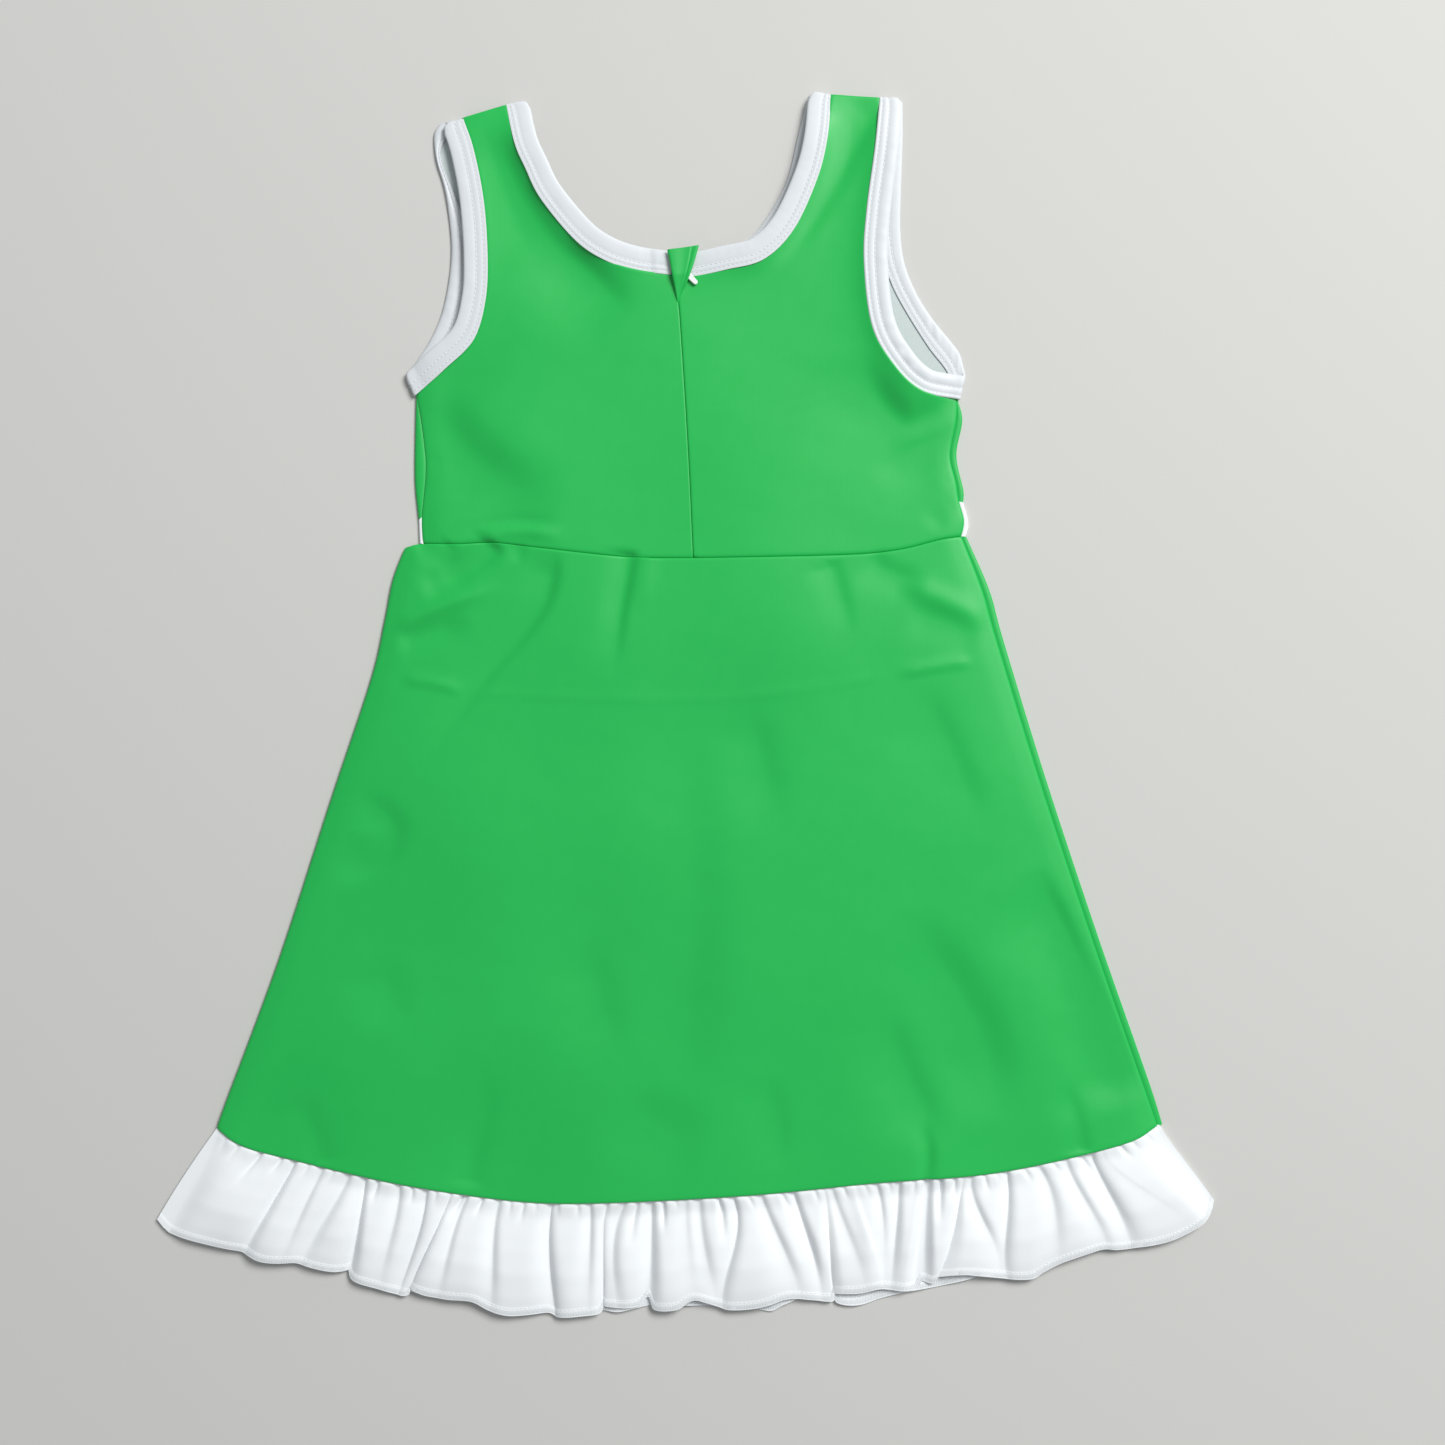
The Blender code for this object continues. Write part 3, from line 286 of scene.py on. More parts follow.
RUFFLE_FOLDS = tuple(RuffleFold(*row) for row in (
    (-243, -251, -261, -270, 0.50, 0.0, 2.6, 0.5),
    (-202, -211, -221, -230, 0.85, 0.70, 2.6, 0.8, -0.8),
    (-187, -196, -204, -212, 0.60, 0.20, 2.4, 0.6),
    (-174, -182, -192, -200, 0.80, 0.45, 3.0, 0.7),
    (-166, -169, -172, -176, 0.85, 0.90, 2.6, 0.9, -1.0),
    (-149, -151, -156, -161, 0.70, 0.30, 2.8, 0.6),
    (-135, -137, -143, -150, 0.90, 0.85, 3.2, 0.6, 0.8),
    (-121, -128, -136, -142.8, 0.35, 0.75, 1.6, 0.9, 1.4),
    (-112, -120, -125, -130, 0.75, 0.15, 2.0, 0.8),
    (-96, -100, -101, -103, 0.75, 0.35, 2.8, 0.6),
    (-69, -71, -70, -68, 0.95, 0.85, 3.2, 0.8, 0.5),
    (-50, -50, -51, -52, 0.70, 0.30, 2.8, 0.6),
    (-41, -43, -43, -43, 0.15, 0.85, 2.0, 0.9, 1.2),
    (-30, -37, -38, -36, 0.70, 0.35, 3.0, 0.5),
    (-18, -18, -18.5, -19.5, 1.00, 1.00, 3.6, 0.6),
    (0, 0, 1, 2, 0.45, 0.05, 3.0, 0.4),
    (7, 8, 11, 14, 0.65, 0.25, 3.4, 0.4),
    (23, 27, 22, 19, 0.90, 0.60, 3.0, 0.7, 0.6),
    (38, 45, 53, 58, 0.70, 0.40, 3.6, 0.4),
    (55, 61, 67, 70, 0.90, 0.70, 3.4, 0.6, -0.5),
    (71, 74, 75, 77, 0.20, 0.80, 1.8, 0.9, -1.2),
    (75, 81, 88, 92, 0.50, 0.10, 3.0, 0.4),
    (86, 91, 97, 99, -0.12, -0.20, 2.0, 0.0),
    (98, 102, 102, 102, 0.60, 0.10, 2.4, 0.6),
    (111, 110, 108, 106, 0.90, 0.45, 2.8, 0.7),
    (126, 124, 122.5, 121.5, 1.00, 1.00, 4.6, 0.3, 0.0, True),
    (145, 142, 138, 131, 0.30, 0.70, 1.6, 0.9, 1.2),
    (149, 151, 159, 160, 0.70, 0.20, 3.0, 0.5),
    (166, 168, 166, 167, 0.90, 0.50, 3.0, 0.6, 0.5),
    (181, 190, 192, 193, 0.65, 0.15, 3.4, 0.4),
    (197, 203, 212, 218, 0.55, 0.35, 3.0, 0.5),
    (210, 217, 226, 232, 0.95, 0.60, 4.2, 0.5, 0.6),
    (217, 225, 247, 262, 0.10, 0.0, 2.0, 0.2),
))
RUFFLE_GATHERS = tuple(Gather(*row) for row in (
    (-238, 0.5, 0.2, -2), (-231, 0.5, 0.25, -3), (-219, 0.8, 0.4, -5), (-208, 0.7, 0.25, -3),
    (-194, 0.4, 0.2, -2), (-181, 0.4, 0.2, -2), (-159, 0.7, 0.3, -3), (-142, 0.6, 0.25, -1),
    (-129, 0.4, 0.2, -1), (-114, 0.8, 0.35, -3), (-104, 0.8, 0.25, -1), (-90, 0.4, 0.2, 0),
    (-83, 0.5, 0.25, -1), (-77, 0.3, 0.15, 0), (-66, 0.5, 0.2, 0), (-56, 0.4, 0.2, 0), (-40, 0.5, 0.25, 0),
    (-24, 0.8, 0.5, -1), (-11.6, 0.9, 0.35, 0), (-5, 0.4, 0.15, 0), (16, 0.9, 0.5, 1), (31, 0.4, 0.2, 1),
    (49, 0.5, 0.25, 1), (66, 0.4, 0.2, 1), (81, 0.4, 0.2, 1), (92, 0.3, 0.2, 1), (105, 0.4, 0.2, 0),
    (119, 0.5, 0.2, 0), (133, 1.1, 0.5, 2), (140, 0.7, 0.3, 2), (155, 0.5, 0.25, 2), (161, 0.3, 0.15, 1),
    (174, 0.4, 0.2, 2), (189, 0.3, 0.2, 2), (204, 0.6, 0.35, 4), (225, 0.5, 0.25, 4), (231, 0.3, 0.2, 3),
    (238, 0.3, 0.2, 3),
))


def spline(points: Line, step: float) -> np.ndarray:
    """Makes even points on a smooth curve through the given ones.

    Args:
        points: The points that the curve passes through.
        step: The distance wanted between two of the new points.

    Returns:
        The new points, one to a row.
    """
    given = np.array(points, float)
    ends = np.vstack([2 * given[0] - given[1], given, 2 * given[-1] - given[-2]])
    dense = []
    for i in range(1, len(ends) - 2):
        a, b, c, d = ends[i - 1:i + 3]
        for t in np.linspace(0, 1, 16, endpoint=False):
            dense.append(0.5 * (2 * b + (c - a) * t + (2 * a - 5 * b + 4 * c - d) * t * t
                                + (3 * b - a - 3 * c + d) * t ** 3))
    dense = np.array(dense + [given[-1]])
    return resampled(dense, max(2, round(run_along(dense)[-1] / step)))


def run_along(points: np.ndarray) -> np.ndarray:
    """Gives the distance from a line's start to each of its points."""
    return np.concatenate([[0.0], np.cumsum(np.linalg.norm(np.diff(points, axis=0), axis=1))])


def resampled(points: np.ndarray, count: int) -> np.ndarray:
    """Gives the same line with this many even stretches."""
    run = run_along(points)
    at = np.linspace(0, run[-1], count + 1)
    return np.column_stack([np.interp(at, run, points[:, k]) for k in range(points.shape[1])])


def side_vectors(points: np.ndarray) -> np.ndarray:
    """Gives unit vectors to the left of a line's run at each of its points."""
    along = np.gradient(points[:, :2], axis=0)
    along /= np.linalg.norm(along, axis=1)[:, None]
    return np.column_stack([-along[:, 1], along[:, 0]])


def nearest(line: np.ndarray, x: np.ndarray, y: np.ndarray) -> tuple[np.ndarray, np.ndarray, np.ndarray]:
    """Measures places against a line of straight runs.

    Args:
        line: The line's points.
        x: The places' x.
        y: The places' y.

    Returns:
        How far each place is from the line, the share of the line's length at which its nearest point
        lies, and +1 where the place is left of the line's run and -1 where it is right of it.
    """
    line = np.asarray(line, float)
    best = np.full(np.shape(x), np.inf)
    share = np.zeros(np.shape(x))
    side = np.ones(np.shape(x))
    for k in range(len(line) - 1):
        run = line[k + 1] - line[k]
        from_x, from_y = x - line[k][0], y - line[k][1]
        t = np.clip((from_x * run[0] + from_y * run[1]) / (run @ run), 0, 1)
        away = np.hypot(from_x - t * run[0], from_y - t * run[1])
        closer = away < best
        share = np.where(closer, (k + t) / (len(line) - 1), share)
        side = np.where(closer, np.sign(run[0] * from_y - run[1] * from_x), side)
        best = np.where(closer, away, best)
    return best, share, side


def bell(distance: np.ndarray, width: Union[float, np.ndarray]) -> np.ndarray:
    """Gives 1 at no distance, falling softly to 0 past the width."""
    return np.exp(-(distance / width) ** 2)


def eased(value: np.ndarray) -> np.ndarray:
    """Gives a soft step from 0 to 1."""
    value = np.clip(value, 0, 1)
    return value * value * (3 - 2 * value)


def swell(x: np.ndarray, y: np.ndarray, size: float, seed: int, waves: int = 7) -> np.ndarray:
    """Gives a soft uneven undulation, about -1 to 1, whose waves are about this long."""
    rng = np.random.default_rng(seed)
    total = np.zeros(np.shape(x))
    for _ in range(waves):
        angle, phase = rng.uniform(0, math.pi), rng.uniform(0, 2 * math.pi)
        length = size * rng.uniform(0.7, 1.6)
        total = total + np.sin(2 * math.pi * (x * math.cos(angle) + y * math.sin(angle)) / length + phase)
    return 2 * total / waves


def is_inside(outline: np.ndarray, x: np.ndarray, y: np.ndarray) -> np.ndarray:
    """Says which places lie inside a closed outline."""
    crossed = np.zeros(np.shape(x), bool)
    for (x0, y0), (x1, y1) in zip(outline, np.roll(outline, -1, axis=0)):
        if y0 != y1:
            crossed ^= ((y0 > y) != (y1 > y)) & (x < (x1 - x0) * (y - y0) / (y1 - y0) + x0)
    return crossed


def area_of(outline: np.ndarray) -> float:
    """Gives a closed outline's area, positive when it runs anticlockwise."""
    x, y = outline[:, 0], outline[:, 1]
    return 0.5 * float(np.sum(x * np.roll(y, -1) - np.roll(x, -1) * y))


def joined(*lines: np.ndarray, apart: float = 0.3) -> np.ndarray:
    """Makes one closed anticlockwise outline from edge lines that each start where the last ends.

    Args:
        lines: The edge lines in order.
        apart: How far apart two points have to be for both to be kept.

    Returns:
        The outline's points, without the first one again at the end.
    """
    points = np.vstack([line[:-1] for line in lines])
    keep = [i for i in range(len(points)) if np.linalg.norm(points[i] - points[i - 1]) > apart]
    points = points[keep]
    return points if area_of(points) > 0 else points[::-1]


def inset(outline: np.ndarray, gap: float) -> np.ndarray:
    """Gives a closed anticlockwise outline moved inwards."""
    ahead = np.roll(outline, -1, axis=0) - outline
    ahead /= np.linalg.norm(ahead, axis=1)[:, None]
    back = np.roll(ahead, 1, axis=0)
    inward = np.column_stack([-(ahead + back)[:, 1], (ahead + back)[:, 0]])
    scale = np.maximum((inward ** 2).sum(axis=1), 0.8)[:, None]
    return outline + 2 * gap * inward / scale


def near_shoulders(x: np.ndarray, y: np.ndarray) -> np.ndarray:
    """Gives 1 on the shoulder seams, falling softly to 0 away from them."""
    return sum(bell(nearest(line, x, y)[0], SHOULDER_REACH) for line in SHOULDERS)


def cut_size(outline: np.ndarray, allowance: float) -> tuple[tuple[float, float], float]:
    """Gives the rectangle round a panel's cut and the cut's area, with its seam allowance all round."""
    around = run_along(np.vstack([outline, outline[:1]]))[-1]
    return tuple(np.ptp(outline, axis=0) + 2 * allowance), area_of(outline) + allowance * around


def filled(outline: np.ndarray, step: float,
           rows: Iterable[float]) -> tuple[np.ndarray, list[tuple[int, ...]]]:
    """Fills an outline with triangles, with close rows of points along its edge.

    Args:
        outline: The closed anticlockwise outline.
        step: The distance between points inside.
        rows: How far in from the edge each close row runs.

    Returns:
        The points, the outline's own first, and the triangles.
    """
    closed = np.vstack([outline, outline[:1]])

    def kept(places: np.ndarray, gap: float) -> np.ndarray:
        """Gives the places that lie inside and further than this from the edge."""
        x, y = places.T
        return places[is_inside(outline, x, y) & (nearest(closed, x, y)[0] > gap)]

    low, high = outline.min(axis=0), outline.max(axis=0)
    grid = []
    for index, row in enumerate(np.arange(low[1] + step / 2, high[1], step * math.sqrt(3) / 2)):
        grid += [(place, row) for place in np.arange(low[0] + step * (index % 2) / 2, high[0], step)]
    far = max([0.55 * step] + [row + 0.35 * step for row in rows])
    parts = [outline, kept(np.array(grid), far)]
    parts += [kept(inset(outline, row), 0.8 * row) for row in rows]
    points = [Vector(p) for p in np.vstack(parts)]
    found, _, faces, *_ = delaunay_2d_cdt(points, [], [list(range(len(outline)))], 1, 1e-6)
    return np.array([tuple(p) for p in found]), [tuple(face) for face in faces]


class Surface:
    """Points and faces gathered for one mesh, with a finish for each face."""

    def __init__(self) -> None:
        """Starts empty."""
        self.points: list[np.ndarray] = []
        self.faces: list[tuple[int, ...]] = []
        self.finishes: list[int] = []
        self.total = 0

    def add(self, points: np.ndarray, faces: Sequence[tuple[int, ...]], finish: int = 0) -> int:
        """Adds points and their faces.

        Args:
            points: Points in millimetres, one to a row.
            faces: Faces that number these points from 0.
            finish: Which of the mesh's materials they take.

        Returns:
            The number of the first point added.
        """
        first = self.total
        self.points.append(np.asarray(points, float).reshape(-1, 3))
        self.total += len(self.points[-1])
        self.faces.extend(tuple(i + first for i in face) for face in faces)
        self.finishes.extend([finish] * len(faces))
        return first

    def add_shell(self, plan: np.ndarray, middle: np.ndarray, faces: Sequence[tuple[int, ...]], count: int,
                  wall: float, finishes: tuple[int, int]) -> None:
        """Adds a panel with its wall.

        Args:
            plan: The panel's plan points, its outline's first.
            middle: The height of the middle of its wall at each of them.
            faces: The triangles that fill it.
            count: How many points its outline has.
            wall: Its thickness.
            finishes: The finish of its upper and its lower face.
        """
        total = len(plan)
        points = np.vstack([np.column_stack([plan, middle + half]) for half in (wall / 2, -wall / 2)])
        first = self.add(points, faces, finishes[0])
        under = [tuple(i + total + first for i in reversed(face)) for face in faces]
        rim = [(i + total, (i + 1) % count + total, (i + 1) % count, i) for i in range(count)]
        self.faces.extend(under)
        self.finishes.extend([finishes[1]] * len(under))
        self.faces.extend(tuple(i + first for i in face) for face in rim)
        self.finishes.extend([0] * len(rim))

    def add_sheet(self, top: np.ndarray, bottom: np.ndarray) -> None:
        """Adds a sheet that is a grid of points, with its rim.

        Args:
            top: The grid of its upper face. Its first axis runs to the right and its second one down.
            bottom: The grid of its lower face.
        """
        total = top.shape[0] * top.shape[1]
        number = np.arange(total).reshape(top.shape[:2])
        a, b = number[:-1, :-1].ravel(), number[1:, :-1].ravel()
        upper, lower = np.column_stack([a, a + 1, b + 1, b]), np.column_stack([a, b, b + 1, a + 1])
        rim = np.concatenate([number[:, 0], number[-1, 1:], number[-2::-1, -1], number[0, -2:0:-1]])
        after = np.roll(rim, -1)
        sides = np.column_stack([rim, after, after + total, rim + total])
        points = np.vstack([top.reshape(-1, 3), bottom.reshape(-1, 3)])
        self.add(points, np.vstack([upper, lower + total, sides]).tolist())

    def add_tube(self, grid: np.ndarray, closed: bool) -> None:
        """Adds a swept tube: one ring of points to each row, with end faces where it isn't closed."""
        count, sides = grid.shape[:2]
        faces = []
        for i in range(count if closed else count - 1):
            j = (i + 1) % count
            for k in range(sides):
                m = (k + 1) % sides
                faces.append((i * sides + k, i * sides + m, j * sides + m, j * sides + k))
        if not closed:
            faces.append(tuple(reversed(range(sides))))
            faces.append(tuple((count - 1) * sides + k for k in range(sides)))
        if signed_volume(grid.reshape(-1, 3), faces) < 0:
            faces = [tuple(reversed(face)) for face in faces]
        self.add(grid, faces)

    def build(self, name: str, materials: Sequence[bpy.types.Material],
              sharp: float = 55.0) -> bpy.types.Object:
        """Makes the mesh object.

        Args:
            name: The object's name.
            materials: Its finishes.
            sharp: The angle in degrees past which an edge shows.

        Returns:
            The new object, with its place in its mesh.
        """
        mesh = bpy.data.meshes.new(name)
        placed = (np.vstack(self.points) - np.array((*MIDDLE, 0.0))) * MM
        mesh.from_pydata(placed.tolist(), [], self.faces)
        for made in materials:
            mesh.materials.append(made)
        mesh.polygons.foreach_set("material_index", np.array(self.finishes, np.int32))
        mesh.validate()
        mesh.shade_smooth()
        mesh.set_sharp_from_angle(angle=math.radians(sharp))
        obj = bpy.data.objects.new(name, mesh)
        bpy.context.scene.collection.objects.link(obj)
        return obj


def signed_volume(points: np.ndarray, faces: Sequence[tuple[int, ...]]) -> float:
    """Gives a closed mesh's volume, negative when its faces point in."""
    total = 0.0
    for face in faces:
        a = points[face[0]]
        for i, j in zip(face[1:], face[2:]):
            total += float(np.dot(a, np.cross(points[i], points[j])))
    return total / 6


class Wire:
    """One output of a node tree that Python's operators can work on."""

    def __init__(self, graph: "Graph", socket: bpy.types.NodeSocket) -> None:
        """Wraps a socket of the graph's tree."""
        self.graph = graph
        self.socket = socket

    def _math(self, operation: str, first: "Term", second: "Term" = 0.0) -> "Wire":
        """Adds a Math node for one operation and gives its result."""
        return self.graph.add("ShaderNodeMath", {"operation": operation}, {0: first, 1: second}).out()

    def __add__(self, other: "Term") -> "Wire":
        """Adds."""
        return self._math("ADD", self, other)

    __radd__ = __add__

    def __sub__(self, other: "Term") -> "Wire":
        """Subtracts."""
        return self._math("SUBTRACT", self, other)

    def __mul__(self, other: "Term") -> "Wire":
        """Multiplies."""
        return self._math("MULTIPLY", self, other)

    def sine(self) -> "Wire":
        """Gives its sine."""
        return self._math("SINE", self)


Term = Union[Wire, float, int, tuple, str, bpy.types.ID]


@dataclass
class Added:
    """A node that was added to a graph."""

    graph: "Graph"
    node: bpy.types.Node

    def out(self, key: Union[int, str] = 0) -> Wire:
        """Gives one of its outputs."""
        return Wire(self.graph, self.node.outputs[key])


class Graph:
    """A node tree that is written as Python expressions."""

    def __init__(self, tree: bpy.types.NodeTree) -> None:
        """Takes the tree to add to."""
        self.tree = tree

    def add(self, kind: str, settings: Optional[dict] = None, inputs: Optional[dict] = None) -> Added:
        """Adds a node.

        Args:
            kind: The node's type.
            settings: Its own properties, which are set first.
            inputs: A value or a wire for each socket that it names, by name or number.

        Returns:
            The node that was added.
        """
        node = self.tree.nodes.new(kind)
        for key, value in (settings or {}).items():
            setattr(node, key, value)
        for key, value in (inputs or {}).items():
            if isinstance(value, Wire):
                self.tree.links.new(value.socket, node.inputs[key])
            else:
                node.inputs[key].default_value = value
        return Added(self, node)

    def mix(self, share: Term, first: Term, second: Term) -> Wire:
        """Mixes two colours by a share from 0 to 1."""
        return self.add("ShaderNodeMix", {"data_type": "RGBA"}, {0: share, 6: first, 7: second}).out(2)

    def noise(self, where: Wire, scale: float, detail: float = 2.0, roughness: float = 0.5) -> Wire:
        """Gives a noise from 0 to 1 over places in metres, with this many cells a metre."""
        inputs = {"Vector": where, "Scale": scale, "Detail": detail, "Roughness": roughness}
        return self.add("ShaderNodeTexNoise", inputs=inputs).out(0)

    def bump(self, height: Wire, strength: float, relief: float) -> Wire:
        """Gives the normal of a relief that is this many millimetres high."""
        inputs = {"Strength": strength, "Distance": relief * MM, "Height": height}
        return self.add("ShaderNodeBump", inputs=inputs).out()


def opaque(colour: Colour, share: float = 1.0) -> tuple[float, float, float, float]:
    """Gives a colour at a share of its brightness, with its alpha."""
    return (*[share * part for part in colour], 1.0)


class Finish:
    """A procedural material that starts from the Principled shader and the places on the piece."""

    def start(self, name: str) -> tuple[bpy.types.Material, Graph, bpy.types.Node, Wire]:
        """Makes an empty material.

        Args:
            name: The material's name.

        Returns:
            The material, its graph, its shader, and the object coordinates.
        """
        made = bpy.data.materials.new(name)
        made.use_nodes = True
        graph = Graph(made.node_tree)
        shader = made.node_tree.nodes["Principled BSDF"]
        return made, graph, shader, graph.add("ShaderNodeTexCoord").out("Object")

    def wire(self, graph: Graph, shader: bpy.types.Node, links: dict[str, Wire],
             values: dict[str, Term]) -> None:
        """Links what varies, and sets what is the same all over, on the shader's sockets."""
        for key, value in values.items():
            shader.inputs[key].default_value = value
        for key, wire in links.items():
            graph.tree.links.new(wire.socket, shader.inputs[key])


@dataclass(frozen=True)
class Jersey(Finish):
    """Smooth stretch jersey with fine knit ribs and a soft satin sheen.

    wale and course are the ribs' pitches across and along, and relief is their height, in millimetres.
    The cells of its unevenness, broad, fine and fuzz, are counted to a metre.
    """

    name: str
    colour: Colour
    deep: Colour
    roughness: float
    sheen: float = 0.15
    sheen_roughness: float = 0.45
    specular: float = 0.4
    wale: float = 0.62
    course: float = 0.5
    relief: float = 0.022
    bump: float = 0.35
    unevenness: float = 0.08
    broad_cells: float = 9.0
    fine_cells: float = 160.0
    fuzz_cells: float = 1400.0

    def build(self) -> bpy.types.Material:
        """Makes the material."""
        made, graph, shader, place = self.start(self.name)
        axes = graph.add("ShaderNodeSeparateXYZ", inputs={0: place})
        wales, courses = ((axes.out(axis) * (2 * math.pi / (pitch * MM))).sine()
                          for axis, pitch in (("X", self.wale), ("Y", self.course)))
        knit = wales * 0.5 + courses * 0.3 + graph.noise(place, self.fuzz_cells) * 0.9
        fine = graph.noise(place, self.fine_cells)
        tone = graph.noise(place, self.broad_cells, 3.0, 0.55) * 0.7 + fine * 0.3
        links = {
            "Base Color": graph.mix(tone, opaque(self.deep), opaque(self.colour)),
            "Roughness": self.roughness + (fine - 0.5) * self.unevenness,
            "Normal": graph.bump(knit, self.bump, self.relief),
        }
        values = {"Specular IOR Level": self.specular, "Sheen Weight": self.sheen,
                  "Sheen Roughness": self.sheen_roughness,
                  "Sheen Tint": opaque(tuple(0.5 + 0.5 * part for part in self.colour))}
        self.wire(graph, shader, links, values)
        return made


@dataclass(frozen=True)
class Grained(Finish):
    """A stuff with a fine grain, such as moulded plastic or spun thread.

    cells is the number of its grains to a metre, hollow the brightness between them as a share, which paints
    shade into the grain's hollows, and relief their height in millimetres.
    """

    name: str
    colour: Colour
    roughness: float
    cells: float
    detail: float
    hollow: float
    bump: float
    relief: float
    sheen: float = 0.0
    sheen_roughness: float = 0.4
    unevenness: float = 0.1

    def build(self) -> bpy.types.Material:
        """Makes the material."""
        made, graph, shader, place = self.start(self.name)
        grain = graph.noise(place, self.cells, self.detail)
        # The colour darkens with the noise that makes the bump, as painted shade in the grain's hollows.
        links = {
            "Base Color": graph.mix(grain, opaque(self.colour, self.hollow), opaque(self.colour)),
            "Roughness": self.roughness + (grain - 0.5) * self.unevenness,
            "Normal": graph.bump(grain, self.bump, self.relief),
        }
        self.wire(graph, shader, links, {"Sheen Weight": self.sheen, "Sheen Roughness": self.sheen_roughness})
        return made


@dataclass(frozen=True)
class Ground(Finish):
    """Plain pale floor."""

    name: str
    colour: Colour
    cells: float = 3.0
    hollow: float = 0.985
    roughness: float = 0.9
    specular: float = 0.2

    def build(self) -> bpy.types.Material:
        """Makes the material."""
        made, graph, shader, place = self.start(self.name)
        cloud = graph.noise(place, self.cells)
        links = {"Base Color": graph.mix(cloud, opaque(self.colour, self.hollow), opaque(self.colour))}
        self.wire(graph, shader, links, {"Roughness": self.roughness, "Specular IOR Level": self.specular})
        return made


@dataclass
class Finishes:
    """Every material of the dress."""

    green: bpy.types.Material
    white: bpy.types.Material
    binding: bpy.types.Material
    inside: bpy.types.Material
    thread: bpy.types.Material
    plastic: bpy.types.Material

    @classmethod
    def make(cls) -> "Finishes":
        """Builds them."""
        return cls(
            green=Jersey("green jersey", (0.013, 0.475, 0.084), (0.010, 0.435, 0.074), 0.45,
                         sheen=0.05).build(),
            white=Jersey("white jersey", (0.86, 0.885, 0.90), (0.84, 0.865, 0.88), 0.52).build(),
            binding=Jersey("white binding jersey", (0.68, 0.71, 0.73), (0.65, 0.68, 0.70), 0.50).build(),
            inside=Jersey("jersey wrong side", (0.60, 0.66, 0.65), (0.50, 0.58, 0.56), 0.75,
                          relief=0.06).build(),
            thread=Grained("white thread", (0.78, 0.81, 0.83), 0.55, cells=2600.0, detail=1.0, hollow=0.9,
                           bump=0.4, relief=0.03, sheen=0.2).build(),
            plastic=Grained("white zip plastic", (0.86, 0.87, 0.87), 0.35, cells=900.0, detail=2.0,
                            hollow=0.94, bump=0.2, relief=0.02).build(),
        )


@dataclass(frozen=True)
class Cut:
    """What is listed for a sheet of cloth: its slot, its solids, its cut in millimetres and how it is held.
    """

    slot: str
    replaces: tuple[str, ...]
    flat: tuple[float, float]
    held: str
    rests_on: tuple[str, ...]
    area: Optional[float] = None


def declare(obj: bpy.types.Object, cut: Cut) -> None:
    """Puts a sheet of cloth on the dress in its solids' place, hides the solids, and logs its cloth's area
    against the size that it was cut to.
    """
    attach(obj, "dress")
    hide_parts(*cut.replaces)
    width, length = cut.flat
    area = None if cut.area is None else min(cut.area, width * length) * MM * MM
    width * MM
    length * MM
    made = sum(face.area for face in obj.data.polygons) / 2
    LOG.info("%s: cloth %.2f times its cut", obj.name, made / (area or width * length * MM * MM))
    report(obj)


def report(obj: bpy.types.Object) -> None:
    """Logs a finished piece."""
    LOG.info("%s: %d faces", obj.name, len(obj.data.polygons))


